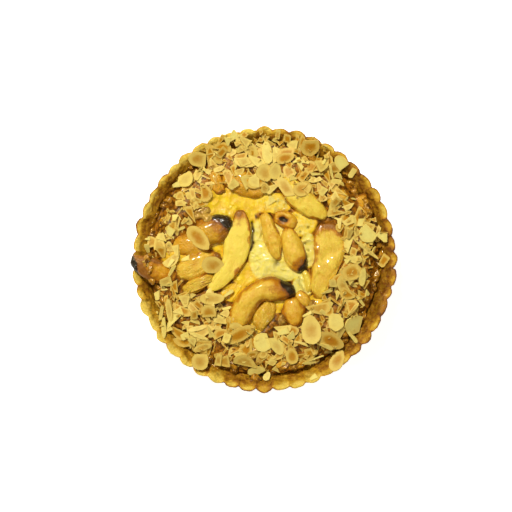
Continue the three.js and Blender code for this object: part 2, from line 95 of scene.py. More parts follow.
# Baked apple pieces, each along a spine. Large ones list the spine's stations: place, and how far
# the piece reaches to the left and to the right of it. Small ones give the spine's middle, its
# direction, length and width. All have a height and the level of their middle, and may have a
# pitch (degrees, + climbs towards the far end). The looks: `flat` planes the top down, `square`
# makes the section boxier, `lean` raises its left side, `lumps` is how uneven it is, `char` is how
# far the far end is burnt and `char_lean` how much further on its left side, `tip` browns the far
# end (+) or the near end (-), `edge` the sides (or with `side` only the left one, +, or the right
# one, -), `pale` is how little the top is baked, `glow` how glassy it has become, `streaks` and
# `layers` how much its fibres show, and `hollow` the place and radius of a dark hollow.
APPLES = {
    "apple_burnt": dict(
        stations=((-52, 14, 8, 9), (-45, 18, 12, 10.5), (-38, 22.5, 11.5, 11), (-31, 26.5, 10, 10),
                  (-24, 29.5, 7.5, 8)),
        height=18, level=23.5, char=0.45, char_lean=0.3, edge=0.3, pale=0.15, lumps=1.0, glow=1.0),
    "apple_crescent": dict(
        stations=((-42.5, -22.5, 5, 5.5), (-35, -16.5, 6.5, 7.5), (-27, -6.5, 7.5, 8.5),
                  (-22, 4, 9.5, 9.5), (-20, 15, 10.5, 10.5), (-17.5, 25.5, 9, 8), (-18, 37.5, 7.5, 7)),
        height=15, level=23, flat=0.7, square=0.6, side=-1, edge=0.6, pale=1.0, lumps=0.5, tip=0.8),
    "apple_thin": dict(
        stations=((11, -0.5, 5, 4.5), (8.5, 6.5, 6, 5), (7, 14, 7, 6.5), (3.5, 24, 6, 6),
                  (-1, 35, 6.5, 6)),
        height=13, level=23, edge=0.35, side=-1, pale=0.4, lumps=0.8, lean=-0.2, streaks=0.4),
    "apple_middle": dict(
        stations=((15.5, 24, 6.5, 5.5), (19.5, 14, 8.5, 7.5), (22.5, 5, 8.5, 9), (26, -2, 7.5, 9),
                  (30.5, -8.5, 6, 6.5)),
        height=15, level=23, char=0.24, char_lean=0.25, edge=0.5, side=1, pale=0.45, lumps=0.8,
        streaks=0.3),
    "apple_upper_right": dict(
        stations=((13.5, 61, 8, 8), (20, 52.5, 9, 9), (27, 45.5, 9, 9), (36, 38.5, 9, 8.5),
                  (47, 31.5, 7.5, 7)),
        height=15, level=23.5, flat=0.4, edge=0.5, pale=0.8, lumps=0.9, streaks=0.4),
    "apple_hook": dict(
        stations=((-21.5, -52, 9.5, 9), (-18, -42, 10.5, 10.5), (-13, -31.5, 9, 9.5),
                  (-5.5, -24.5, 8, 8.5), (4, -22, 10, 10), (13, -23, 9.5, 9.5), (23, -23, 7.5, 7.5)),
        height=19, level=23.5, char=0.2, char_lean=0.2, edge=0.6, pale=0.4, lumps=0.5),
    "apple_right": dict(
        stations=((47.5, 28, 13, 13), (48, 18, 13.5, 14), (49, 9, 13.5, 13), (47.5, -0.5, 12, 10.5),
                  (44.5, -9.5, 10.5, 10), (41, -19, 9.5, 8.5), (39.5, -29.5, 7.5, 6.5)),
        height=17, level=22.5, flat=0.6, square=0.7, edge=0.55, pale=0.6, lumps=1.2, tip=-0.7,
        streaks=0.7),
    "apple_left_upper": dict(
        stations=((-70, 9, 9, 8), (-59, 10.5, 10, 9.5), (-50, 9.5, 10, 9.5), (-41, 8.5, 8, 7)),
        height=12, level=22.5, edge=0.4, pale=0.0, lumps=1.2, glow=0.8),
    "apple_left_lower": dict(
        stations=((-67, -10, 9, 7.5), (-57, -7.5, 11.5, 9.5), (-48, -3.5, 12, 10), (-40.5, 0, 9.5, 9.5),
                  (-32.5, 3, 6, 6)),
        height=14, level=22.5, edge=0.55, pale=0.4, lumps=1.0, glow=0.6, streaks=0.8, tip=0.6),
    "apple_far_left": dict(
        stations=((-65, -13, 8, 7), (-73, -11, 8.5, 8), (-81, -8, 9, 8.5), (-89, -4.5, 8, 8),
                  (-98.5, 0.5, 6.5, 6.5)),
        height=9, level=28.2, pitch=13, edge=1.0, pale=-0.9, lumps=0.9, tip=1.0, char=0.13,
        char_lean=0.35),
    "apple_glossy": dict(
        stations=((-4.5, -53, 7, 6.5), (-1.5, -45, 7.5, 7), (1.5, -38, 7.5, 7.5), (5, -30.5, 6.5, 7)),
        height=12, level=22.5, edge=0.3, pale=0.4, lumps=1.2, glow=1.0, streaks=0.6),
    "apple_browned": dict(
        stations=((19.5, -28.5, 10, 8), (21.5, -36, 11, 9.5), (22.5, -43, 8.5, 8),
                  (24.5, -51.5, 6, 5.5)),
        height=14, level=22.5, edge=0.8, pale=0.15, lumps=0.9, glow=0.4, tip=0.7),
    "apple_small": dict(
        x=29, y=-29, heading=-48, length=13, width=9, height=9, level=23, edge=0.4, pale=0.4, lumps=0.8,
        glow=0.6),
    "apple_sliver": dict(
        x=32, y=-16, heading=-78, length=18, width=6.5, height=9, level=22.5, edge=0.2, pale=0.9,
        lumps=0.8, streaks=0.6),
    "apple_upper_strip": dict(
        x=-15, y=57, heading=-22, length=34, width=19, height=12, level=23, edge=0.4, pale=0.0,
        lumps=1.3, glow=0.7),
    "apple_upper_left": dict(
        x=-36, y=58, heading=-70, length=19, width=13, height=10, level=23, edge=0.8, pale=0.0,
        lumps=1.2, glow=0.7, tip=0.5),
    "apple_scorched": dict(
        stations=((24, 25.5, 6, 6), (19, 28.5, 7, 6.5), (13.5, 31, 6.5, 6.5), (7.5, 32.5, 5.5, 5)),
        height=12, level=22.5, edge=0.5, pale=0.2, lumps=0.8, hollow=(13.5, 29.8, 3.8), glow=0.4),
    "apple_layered": dict(
        x=-49.5, y=-18.5, heading=24, length=25, width=10.5, height=10, level=24.2, edge=0.1, pale=0.5,
        lumps=0.4, layers=1.0),
    "apple_covered": dict(
        x=55, y=45.5, heading=30, length=17, width=12, height=9, level=24, edge=0.5, pale=0.2,
        lumps=1.0),
    "apple_right_end": dict(
        x=75, y=39.5, heading=108, length=20, width=12, height=11, level=22, edge=1.0, pale=-0.6,
        lumps=1.3, glow=0.8),
    "apple_bottom_end": dict(
        x=19, y=-78.5, heading=4, length=24, width=9, height=9, level=21.5, edge=0.7, pale=0.1,
        lumps=1.0, glow=0.6),
}
# Apple pieces that no scattered almond lies on.
BARE_APPLES = ("apple_burnt", "apple_crescent", "apple_thin", "apple_middle", "apple_hook",
               "apple_right", "apple_scorched", "apple_glossy", "apple_browned", "apple_upper_right",
               "apple_left_lower", "apple_far_left", "apple_sliver", "apple_layered")

# The almond slices that stand out, the lowest first: place, length, width, direction, share left
# (1 is whole), tone (0 pale, 1 golden) and toast (how brown the middle is).
LARGE_ALMONDS = (
    (-59.5, -31, 11, 10, 95, 0.8, 0.4, 0.1), (-52.5, -41, 11, 9, 100, 0.6, 0.6, 0.4),
    (-33, -45, 12, 9, -20, 0.8, 0.3, 0.2), (-64.5, -38.5, 10, 7, 10, 0.7, 0.2, 0.1),
    (-80, -27, 10, 8, 110, 0.6, 0.0, 0.0), (-47, -67, 12, 9, 150, 0.7, 0.7, 0.5),
    (20, -57, 8, 7, 30, 0.7, 0.1, 0.0), (14, -54, 12, 7.5, 22, 0.7, 0.1, 0.0),
    (57, -55, 12, 9, 80, 0.8, 0.3, 0.2), (48, -69.5, 8, 6, 20, 0.7, 0.3, 0.2),
    (0, 53, 8, 7, 50, 0.8, 0.6, 0.3), (40, 60, 8, 6, 20, 0.7, 0.3, 0.2),
    (55.5, 62.5, 8, 6, 10, 0.7, 0.3, 0.1), (72, 28, 7, 6, 80, 0.8, 0.1, 0.0),
    (63, 29, 10, 8, 20, 0.8, 0.4, 0.2), (56.5, 27, 10, 5, 95, 0.8, 0.3, 0.1),
    (63, 19.5, 8, 7, 60, 0.8, 0.4, 0.2), (-22.5, 56, 10, 9, 60, 0.8, 0.4, 0.0),
    (-77, 16.5, 11, 8, 10, 0.6, 0.3, 0.1), (-77, 6, 11, 9, 100, 0.8, 0.6, 0.5),
    (-88.5, 8.5, 9, 6, 90, 0.8, 0.2, 0.0), (-50.5, 63.5, 10, 8, 60, 0.8, 0.4, 0.3),
    (-59, 60, 14, 12, 100, 0.8, 0.3, 0.2), (-24, 92.5, 10, 9, 30, 0.8, 0.1, 0.0),
    (-27, 88.5, 9, 7, 100, 0.7, 0.1, 0.0), (-15, 88, 12, 8, -32, 0.7, 0.3, 0.3),
    (-15, 73, 11, 9, 20, 0.7, 0.3, 0.4), (0, 64.5, 13, 12, -60, 1, 0.4, 0.4),
    (8, 66, 12, 9, 80, 1, 0.3, 0.3), (-32, 80, 11, 9, 40, 0.8, 0.7, 0.7),
    (2, 80, 17, 7.5, 96, 1, 0.1, 0.1), (15.5, 76, 14, 7.5, 15, 1, 0.6, 0.8),
    (44, 51, 11, 9, 75, 0.6, 0.2, 0.2), (28, 52.5, 13, 10.5, 10, 1, 0.3, 0.8),
    (15.5, 54, 20, 8, -55, 0.8, 0.4, 0.4), (53, 43, 9, 8, 40, 0.8, 0.6, 0.4),
    (57, 73, 17, 9, -52, 0.6, 0.0, 0.0), (66, 65, 10, 6, 60, 0.8, 0.2, 0.0),
    (77, 19, 15, 13, 60, 0.7, 0.0, 0.0), (88, 17, 11, 8, -20, 0.7, 0.0, 0.0),
    (-50, 75, 17, 10.5, -8, 0.75, 0.4, 0.6), (34, 84, 16, 13, 75, 0.75, 0.4, 0.95),
    (-39, -29, 18, 8.5, 0, 1, 0.5, 0.2), (-41.5, -38.5, 14, 11, -90, 0.65, 0.4, 0.7),
    (-34.5, -75, 13, 11, -90, 0.7, 0.3, 0.5), (-48, -76, 15, 12, 80, 0.8, 0.3, 0.6),
    (-2, -62, 15, 13.5, 20, 0.75, 0.0, 0.1), (9, -64, 17, 8, 120, 0.8, 0.2, 0.3),
    (20.5, -72, 12, 9, 100, 1, 0.4, 0.9), (-6, -83.5, 13, 6.5, 12, 1, 0.2, 0.1),
    (53, -46.5, 13, 11, 110, 1, 0.2, 0.1), (49.5, -60.5, 21.5, 11, -24, 1, 0.5, 1.0),
    (34.5, -52, 21, 14, 96, 1, 0.35, 0.35), (67, -49, 18, 14, 15, 0.75, 0.0, 0.0),
    (65, -9.5, 18, 11, 20, 0.8, 0.4, 0.8), (54.5, -75.5, 17, 10, 62, 1, 0.5, 0.5),
    (-18, -55.5, 24, 9.5, 27, 1, 0.5, 0.9), (-38.5, -4, 16, 12, 0, 1, 0.5, 0.5),
    (-49, 16, 21.5, 12, -45, 1, 0.3, 1.0), (2, -88, 7, 5, 60, 1, 0.2, 0.1),
    (90, -1, 12, 8, 60, 0.8, 0.7, 0.6), (76.5, -26, 8, 6, 60, 0.7, 0.1, 0.0),
    (37, -88.5, 7, 6, 40, 0.8, 0.0, 0.0), (-59, 1, 9, 5, 10, 0.7, 0.0, 0.0),
    (-66, 6.5, 10, 7, 95, 0.8, 0.3, 0.1), (-70, -2.5, 9, 4, 50, 0.8, 0.1, 0.0),
    (-69, -8, 10, 3, 60, 0.9, 0.1, 0.0), (-73, -17, 11, 9, 20, 0.8, 0.4, 0.2),
    (-88, 16, 5, 4, 0, 0.8, 0.1, 0.0), (5, 44, 9, 7, 60, 0.7, 0.1, 0.1),
    (-63, 42, 10, 9, 20, 0.7, 0.4, 0.3), (-70, 21, 9, 8, 70, 0.7, 0.0, 0.0),
    (-66, 56, 9, 5, 20, 0.8, 0.0, 0.0), (-60, 29, 8, 5, 40, 0.7, 0.5, 0.3),
    (-67, 31, 7, 5, 80, 0.8, 0.1, 0.0), (-71, -38, 18, 5, 96, 0.95, 0.4, 0.2),
    (-77.5, -40, 12, 4.5, 74, 0.95, 0.3, 0.1), (-75.5, -51, 16, 3.5, 92, 0.95, 0.1, 0.0),
    (-50, -51.5, 14, 3.5, 12, 0.95, 0.3, 0.1), (-49, -57, 15, 3, -20, 0.95, 0.3, 0.1),
    (-46, -65.5, 15, 5, 18, 0.95, 0.5, 0.3), (-59, -57, 9, 7, 30, 0.7, 0.2, 0.0),
    (-28, -58, 10, 8, 60, 0.7, 0.3, 0.1), (35, -77, 16, 2.6, 6, 0.95, 0.2, 0.0),
    (39, -74, 12, 2.4, 16, 0.95, 0.2, 0.0), (45, -64, 13, 4, -22, 0.95, 0.3, 0.1),
    (66, -58, 11, 4, -46, 0.95, 0.2, 0.0), (72, -31, 10, 3, -50, 0.95, 0.2, 0.0),
    (66, -37, 13, 3, 44, 0.95, 0.5, 0.2), (73, -13, 14, 5, 84, 0.9, 0.2, 0.0),
    (77, 7, 22, 2.6, -38, 0.95, 0.4, 0.1), (47, -24, 11, 4, 24, 0.9, 0.1, 0.0),
    (50, 66, 11, 3, -75, 0.95, 0.3, 0.1), (-62.5, 23, 7, 2.6, 28, 0.95, 0.1, 0.0),
    (45, 74, 8, 3.5, 60, 0.95, 0.0, 0.0), (24, 74, 7, 4, 25, 0.9, 0.0, 0.0),
    (32, -41, 8, 4, 30, 0.9, 0.1, 0.0), (-27, -25, 9, 3.5, 30, 0.95, 0.0, 0.0),
    (-28, -36.5, 7, 3.5, 14, 0.95, 0.1, 0.0),
)

# How far in and out from the tart's middle the scattered almonds lie, by angle in degrees.
SCATTER_INNER = (
    (0, 58), (35, 58), (50, 55), (70, 50), (90, 50), (110, 69), (125, 64), (155, 62), (170, 72),
    (190, 70), (205, 60), (212, 48), (240, 50), (290, 53), (320, 50), (350, 57),
)
SCATTER_OUTER = (
    (0, 84), (17, 94), (30, 78), (45, 80), (58, 95), (90, 97), (120, 96), (130, 85), (140, 80),
    (155, 79), (175, 88), (190, 78), (197, 86), (213, 90), (232, 86), (262, 83), (270, 86), (285, 82),
    (310, 84), (330, 82), (345, 79),
)


# ---- numbers

# The usual factors of a draw from a sine wave.
INDEX_FACTOR, KIND_FACTOR, WAVE_HEIGHT = 12.9898, 78.233, 43758.5453


def chance(index, kind):
    """A repeatable draw between 0 and 1 for item number `index`."""
    wave = np.sin(index * INDEX_FACTOR + kind * KIND_FACTOR) * WAVE_HEIGHT
    return wave - np.floor(wave)


def smoothstep(low, high, value):
    share = np.clip((value - low) / (high - low), 0, 1)
    return share * share * (3 - 2 * share)


def bell(distance, width):
    return np.exp(-(distance / width) ** 2)


def round_the_tart(table, degrees, column=1):
    """A value listed at a few angles, for any angle."""
    angles, values = ([row[place] for row in table] for place in (0, column))
    return np.interp(degrees, angles, values, period=360)


def turn_between(degrees, middle):
    return (degrees - middle + 180) % 360 - 180


def grain(points, size, seed, octaves=1):
    """Smooth random relief from -1 to 1, with features about `size` mm across."""
    total = np.zeros(len(points))
    for octave in range(octaves):
        place = points / size * 2 ** octave + 17.3 * seed + 5.1 * octave
        cell = np.floor(place)
        inside = place - cell
        inside = inside * inside * (3 - 2 * inside)
        value = np.zeros(len(points))
        for corner in itertools.product((0, 1), repeat=3):
            weight = np.prod(np.where(corner, inside, 1 - inside), axis=1)
            x, y, z = (cell + corner).T
            value += weight * chance(x + 57 * y + 131 * z, seed + octave)
        total += (2 * value - 1) / 2 ** octave
    return total / sum(2.0 ** -octave for octave in range(octaves))


def ridges(points, size, seed):
    """Sharp-crested relief from 0 to 1."""
    return (1 - np.abs(grain(points, size, seed, 2))) ** 4


def curve_through(points, share):
    """Points on a smooth curve through `points`, at shares of the way from 0 to 1."""
    points = np.array(points, float)
    guided = np.vstack([2 * points[0] - points[1], points, 2 * points[-1] - points[-2]])
    place = np.clip(share, 0, 1) * (len(points) - 1)
    number = np.minimum(place.astype(int), len(points) - 2)
    t = (place - number)[:, None]
    before, start, end, after = (guided[number + step] for step in range(4))
    return 0.5 * (2 * start + (end - before) * t + (2 * before - 5 * start + 4 * end - after) * t ** 2
                  + (3 * start - before - 3 * end + after) * t ** 3)


# ---- meshes

def read_values(items, key, width=1, kind=float):
    """One number, or one row of numbers, for each item of a mesh."""
    values = np.empty(len(items) * width, kind)
    items.foreach_get(key, values)
    return values.reshape(-1, width) if width > 1 else values


def vertex_places(mesh):
    return read_values(mesh.vertices, "co", 3)


def move_vertices(mesh, co):
    mesh.vertices.foreach_set("co", np.ascontiguousarray(co, float).ravel())
    mesh.update()


def swell(mesh, co, relief):
    """Places moved outwards along the mesh's normals."""
    return co + read_values(mesh.vertex_normals, "vector", 3) * relief[:, None]


def paint_vertices(mesh, **layers):
    """Writes one number for each vertex into named attributes."""
    for name, values in layers.items():
        layer = mesh.attributes.get(name) or mesh.attributes.new(name, "FLOAT", "POINT")
        layer.data.foreach_set("value", np.broadcast_to(values, len(mesh.vertices)).astype(np.float32))


def read_layer(mesh, name):
    return read_values(mesh.attributes[name].data, "value", kind=np.float32).astype(float)


def triangle_corners(mesh):
    mesh.calc_loop_triangles()
    return read_values(mesh.loop_triangles, "vertices", 3, np.int32)


def set_uv(mesh, name, uv):
    """Gives each corner of a face the flat place of its vertex."""
    layer = mesh.uv_layers[0] if mesh.uv_layers else mesh.uv_layers.new(name=name)
    layer.name = name
    layer.data.foreach_set("uv", uv[read_values(mesh.loops, "vertex_index", kind=np.int32)].ravel())


def finished_mesh(bm, name):
    mesh = bpy.data.meshes.new(name)
    bm.to_mesh(mesh)
    bm.free()
    return mesh


def turned_mesh(name, section, steps, sectors=24):
    """A closed body of revolution from a section: each corner is r, z and the values of its layers.

    One sector is spun, and its copies are turned into place and merged.
    """
    corners, layer_names = section
    bm = bmesh.new()
    layers = [bm.verts.layers.float.new(layer_name) for layer_name in layer_names]
    made = []
    for r, z, *values in corners:
        corner = bm.verts.new((r, 0, z))
        for layer, value in zip(layers, values):
            corner[layer] = value
        made.append(corner)
    made += [bm.edges.new(pair) for pair in itertools.pairwise(made)]
    bmesh.ops.spin(bm, geom=made, cent=(0, 0, 0), axis=(0, 0, 1), angle=2 * math.pi / sectors,
                   steps=steps // sectors, use_normal_flip=False)
    wedge = bm.verts[:] + bm.edges[:] + bm.faces[:]
    for number in range(1, sectors):
        copied = bmesh.ops.duplicate(bm, geom=wedge)["geom"]
        turn = Matrix.Rotation(2 * math.pi * number / sectors, 3, "Z")
        verts = [part for part in copied if isinstance(part, bmesh.types.BMVert)]
        bmesh.ops.rotate(bm, verts=verts, cent=(0, 0, 0), matrix=turn)
    bmesh.ops.remove_doubles(bm, verts=bm.verts, dist=0.01)
    bmesh.ops.recalc_face_normals(bm, faces=bm.faces)
    return finished_mesh(bm, name)


def place_piece(name, mesh, material, nodes=(), smooth=True):
    """Puts a shaped mesh into the scene as a piece of the tart, in metres."""
    mesh.transform(Matrix.Scale(MM, 4))
    if smooth:
        mesh.shade_smooth()
    mesh.materials.append(material)
    piece = bpy.data.objects.new(name, mesh)
    bpy.context.scene.collection.objects.link(piece)
    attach(piece, "root")
    if nodes:
        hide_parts(*nodes)
    return piece


def solid_tree(names):
    """A search tree over finished pieces, in millimetres, and the piece that owns each face."""
    corners, faces, owners = [], [], []
    start = 0
    for number, name in enumerate(names):
        mesh = bpy.data.objects[name].data
        corners.append(vertex_places(mesh) / MM)
        faces.append(triangle_corners(mesh) + start)
        owners.append(np.full(len(faces[-1]), number))
        start += len(mesh.vertices)
    tree = BVHTree.FromPolygons(np.concatenate(corners).tolist(), np.concatenate(faces).tolist())
    return tree, np.concatenate(owners)


# ---- materials

class Shade:
    """One socket of a material; arithmetic on it adds the nodes that work it out."""

    def __init__(self, paint, socket):
        self.paint = paint
        self.socket = socket

    def math(self, operation, *values):
        inputs = dict(enumerate([self, *values]))
        return self.paint.node("ShaderNodeMath", {"operation": operation}, inputs)

    def __add__(self, other):
        return self.math("ADD", other)

    def __sub__(self, other):
        return self.math("SUBTRACT", other)

    def __rsub__(self, other):
        return self.paint.node("ShaderNodeMath", {"operation": "SUBTRACT"}, {0: other, 1: self})

    def __mul__(self, other):
        return self.math("MULTIPLY", other)

    __radd__ = __add__
    __rmul__ = __mul__

    def clamp(self):
        return self.paint.node("ShaderNodeClamp", {}, {"Value": self})

    def rise(self, low, high):
        """0 below `low`, 1 above `high`, smooth between them; it falls where low is above high."""
        if low > high:
            return 1 - self.rise(high, low)
        inputs = {"Value": self, "From Min": low, "From Max": high}
        return self.paint.node("ShaderNodeMapRange", {"interpolation_type": "SMOOTHSTEP"}, inputs)


class Paint:
    """One material, with its Principled surface."""

    def __init__(self, name):
        self.material = bpy.data.materials.new(name)
        self.material.use_nodes = True
        self.tree = self.material.node_tree
        self.surface = self.tree.nodes["Principled BSDF"]
        self.place = self.node("ShaderNodeTexCoord", {}, {}, "Object")

    def node(self, kind, settings, inputs, output=0):
        """Adds a node: its settings first, then the values or links of its sockets."""
        node = self.tree.nodes.new(kind)
        for key, value in settings.items():
            setattr(node, key, value)
        self.feed(node, inputs)
        return Shade(self, node.outputs[output])

    def feed(self, node, inputs):
        for key, value in inputs.items():
            socket = node.inputs[key]
            if isinstance(value, Shade):
                self.tree.links.new(value.socket, socket)
            else:
                socket.default_value = value

    def noise(self, size_mm, detail=2.0, place=None, roughness=0.55, distortion=0.0):
        inputs = {"Vector": place or self.place, "Scale": 1 / (size_mm * MM), "Detail": detail,
                  "Roughness": roughness, "Distortion": distortion}
        return self.node("ShaderNodeTexNoise", {}, inputs, "Fac")

    def layer(self, name):
        return self.node("ShaderNodeAttribute", {"attribute_name": name}, {}, "Fac")

    def coats(self, colour, *coats):
        """Lays colours over the first one. Each coat is how much it shows (0 to 1) and its colour."""
        settings = {"data_type": "RGBA", "clamp_factor": True}
        for factor, coat in coats:
            colour = self.node("ShaderNodeMix", settings, {0: factor, 6: colour, 7: coat}, 2)
        return colour

    def bump(self, height, depth_mm):
        return self.node("ShaderNodeBump", {}, {"Height": height, "Distance": depth_mm * MM})

    def finish(self, **values):
        """Sets the surface's sockets, each by its name with _ for a space."""
        self.feed(self.surface, {key.replace("_", " "): value for key, value in values.items()})
        return self.material


def tone(red, green, blue):
    """A screen colour as linear light, with full opacity."""
    def linear(level):
        share = level / 255
        return share / 12.92 if share <= 0.04045 else ((share + 0.055) / 1.055) ** 2.4
    return (linear(red), linear(green), linear(blue), 1.0)


def crust_finish(colours):
    paint = Paint("baked_crust")
    patches = paint.noise(8, 3)
    spots = paint.noise(3.2, 4, roughness=0.65)
    freckles = paint.noise(1.1, 3, roughness=0.7)
    # This layer holds the crust's browning and also painted shade in the flutes' notches.
    bake = (paint.layer("bake") + (patches - 0.5) * 1.0 + (spots - 0.5) * 0.7
            + (freckles - 0.5) * 0.35).clamp()
    glaze = (paint.layer("glaze") + (patches - 0.5) * 0.4).clamp()
    amber = paint.coats(tone(198, 150, 34), (spots.rise(0.38, 0.62), tone(134, 86, 18)))
    colour = paint.coats(
        colours.crust_pale,
        (freckles.rise(0.35, 0.65), tone(246, 216, 104)),
        (bake.rise(0.1, 0.4), colours.crust_golden),
        (bake.rise(0.42, 0.72), colours.crust_brown),
        (bake.rise(0.78, 1.0), colours.crust_dark),
        (glaze * 0.6, amber),
    )
    relief = freckles * 0.4 + spots * 1.0 + patches * 0.6
    return paint.finish(
        Base_Color=colour,
        Roughness=0.6 - glaze * 0.35,
        Coat_Weight=glaze.rise(0.2, 0.7) * 0.5,
        Coat_Roughness=0.08,
        Specular_IOR_Level=0.35,
        Specular_Tint=(1, 0.8, 0.5, 1),
        Normal=paint.bump(relief, 0.9),
    )


def custard_finish(colours):
    paint = Paint("set_custard")
    skin = paint.noise(6, 4, distortion=0.5)
    fine = paint.noise(1.6, 3, roughness=0.6)
    spots = paint.noise(3, 3)
    bare = (paint.layer("bare") + (skin - 0.5) * 0.6).clamp()
    cream = (paint.layer("cream") + (spots - 0.5) * 0.7).clamp()
    # Under the almonds: amber glaze colour, darkened to stand for the shade between the slices, so
    # partly real colour and partly painted shade.
    under = paint.coats(tone(76, 44, 8), (spots.rise(0.36, 0.62), tone(164, 104, 18)))
    yellow = paint.coats(colours.custard, (skin.rise(0.3, 0.7), tone(232, 184, 44)))
    creamy = paint.coats(colours.cream, (spots.rise(0.35, 0.65), tone(240, 224, 124)))
    open_colour = paint.coats(yellow, (cream.rise(0.3, 0.7), creamy))
    # Holes and cracks get painted shade, a near-black brown that deepens with their depth.
    colour = paint.coats(
        under, (bare.rise(0.25, 0.6), open_colour), (paint.layer("scorch"), tone(58, 32, 8)))
    relief = skin * 1.0 + fine * 0.25 + spots * 0.7
    return paint.finish(
        Base_Color=colour,
        Roughness=0.3 + cream * 0.2,
        Specular_IOR_Level=0.3,
        Specular_Tint=(1, 0.8, 0.5, 1),
        Coat_Weight=bare.rise(0.4, 0.7) * 0.7,
        Coat_Roughness=0.05,
        Subsurface_Weight=0.08,
        Subsurface_Radius=(1.0, 0.7, 0.25),
        Subsurface_Scale=0.002,
        Normal=paint.bump(relief, 0.8),
    )


# From the spine's lengths in mm to the noise's place: the fibres are drawn out along the spine.
FIBRE_SCALE = (0.00015, 0.0009, 0.0)


def apple_finish(colours):
    paint = Paint("baked_apple")
    flesh = paint.noise(5, 4)
    fine = paint.noise(1.2, 3, roughness=0.65)
    spine = paint.node("ShaderNodeUVMap", {"uv_map": "spine"}, {})
    along_fibres = paint.node(
        "ShaderNodeVectorMath", {"operation": "MULTIPLY"}, {0: spine, 1: FIBRE_SCALE})
    fibres = paint.noise(1.1, 3, place=along_fibres)
    blotches = paint.noise(10, 3)
    streaks = paint.layer("streaks")
    browning = (paint.layer("brown") + (flesh - 0.5) * 0.6 + (blotches - 0.5) * 1.0 + (fine - 0.5) * 0.2
                + (fibres - 0.5) * streaks * 1.2).clamp()
    char = (paint.layer("char") + (flesh - 0.5) * 0.4).clamp()
    pale = paint.layer("pale") + (flesh - 0.5) * 1.6 + (fine - 0.5) * 0.6
    colour = paint.coats(
        colours.apple_golden,
        (pale, colours.apple_pale),
        (browning.rise(0.25, 0.65), colours.apple_brown),
        (browning.rise(0.65, 0.95), tone(150, 92, 22)),
        (char.rise(0.2, 0.55), tone(138, 76, 26)),
        (char.rise(0.5, 0.8), colours.char),
    )
    glow = paint.layer("glow")
    relief = (flesh * 0.9 + fine * (0.3 + glow * 1.0) + fibres * streaks * 0.8
              + paint.layer("layers") * fibres * 2.0)
    return paint.finish(
        Base_Color=colour,
        Roughness=0.4 - glow * 0.15,
        Specular_IOR_Level=0.6,
        Specular_Tint=(1, 0.82, 0.5, 1),
        Coat_Weight=0.12 + glow * 0.5,
        Coat_Roughness=0.08,
        Subsurface_Weight=0.15,
        Subsurface_Radius=(1.0, 0.65, 0.25),
        Subsurface_Scale=0.003,
        Normal=paint.bump(relief, 0.8),
    )


def almond_finish(colours):
    paint = Paint("toasted_almond")
    slice_place = paint.node("ShaderNodeUVMap", {"uv_map": "slice"}, {})
    from_middle = paint.node("ShaderNodeVectorMath", {"operation": "LENGTH"}, {0: slice_place}, "Value")
    cloud = paint.noise(3, 3)
    fine = paint.noise(0.9, 3, roughness=0.65)
    hue = (paint.layer("hue") + (cloud - 0.5) * 0.5 + (paint.noise(7, 2) - 0.5) * 0.6).clamp()
    toast = paint.layer("toast")
    inner = (1 - paint.layer("rim")).rise(0.4, 1.0)
    core = inner * (from_middle + (cloud - 0.5) * 0.6).rise(1.5, 0.5) * (0.8 + (fine - 0.5) * 0.8)
    # The pale line at the rim is a painted highlight: the light caught by each slice's thin edge.
    rim = (paint.layer("rim") + (fine - 0.5) * 0.3).rise(0.4, 0.8)
    colour = paint.coats(
        colours.almond_pale,
        ((hue + toast * 0.6).clamp(), colours.almond_golden),
        ((core * toast).clamp(), colours.almond_toasted),
        (rim * 0.6, tone(236, 210, 106)),
        (fine.rise(0.62, 0.8) * 0.35, tone(160, 112, 40)),
    )
    relief = cloud * 0.6 + fine * 0.35
    return paint.finish(
        Base_Color=colour,
        Roughness=0.45,
        Specular_IOR_Level=0.3,
        Specular_Tint=(1, 0.85, 0.6, 1),
        Normal=paint.bump(relief, 0.4),
    )


def glaze_finish(name, dark, light):
    paint = Paint(name)
    cloud = paint.noise(3.5, 4, roughness=0.6)
    return paint.finish(
        Base_Color=paint.coats(dark, (cloud.rise(0.35, 0.65), light)),
        Roughness=0.2,
        Specular_IOR_Level=0.9,
        Specular_Tint=(1, 0.75, 0.4, 1),
        Coat_Weight=0.15,
        Coat_Roughness=0.05,
        Subsurface_Weight=0.15,
        Subsurface_Radius=(1.0, 0.7, 0.3),
        Subsurface_Scale=0.002,
        Normal=paint.bump(cloud + paint.noise(1.2, 2) * 0.3, 0.9),
    )


# ---- crust

# The rim's tone by angle: how much browner (+) or paler (-) it is, and how brown its outer edge.
CRUST_TONES = (
    (0, 0.4, 0.6), (30, 0.38, 0.6), (50, 0.35, 0.6), (75, 0.15, 0.5), (90, 0.05, 0.35),
    (120, -0.12, 0.7), (150, -0.18, 1.0), (170, -0.12, 1.1), (185, -0.05, 0.8), (193, -0.05, 0.3),
    (200, -0.3, 0.0), (212, -0.3, 0.0), (222, -0.1, 0.4), (240, -0.15, 0.15), (252, 0.0, 0.6),
    (264, 0.1, 1.1), (276, 0.0, 0.7), (290, -0.15, 0.1), (305, 0.2, 0.4), (320, 0.4, 0.6),
    (340, 0.4, 0.5),
)


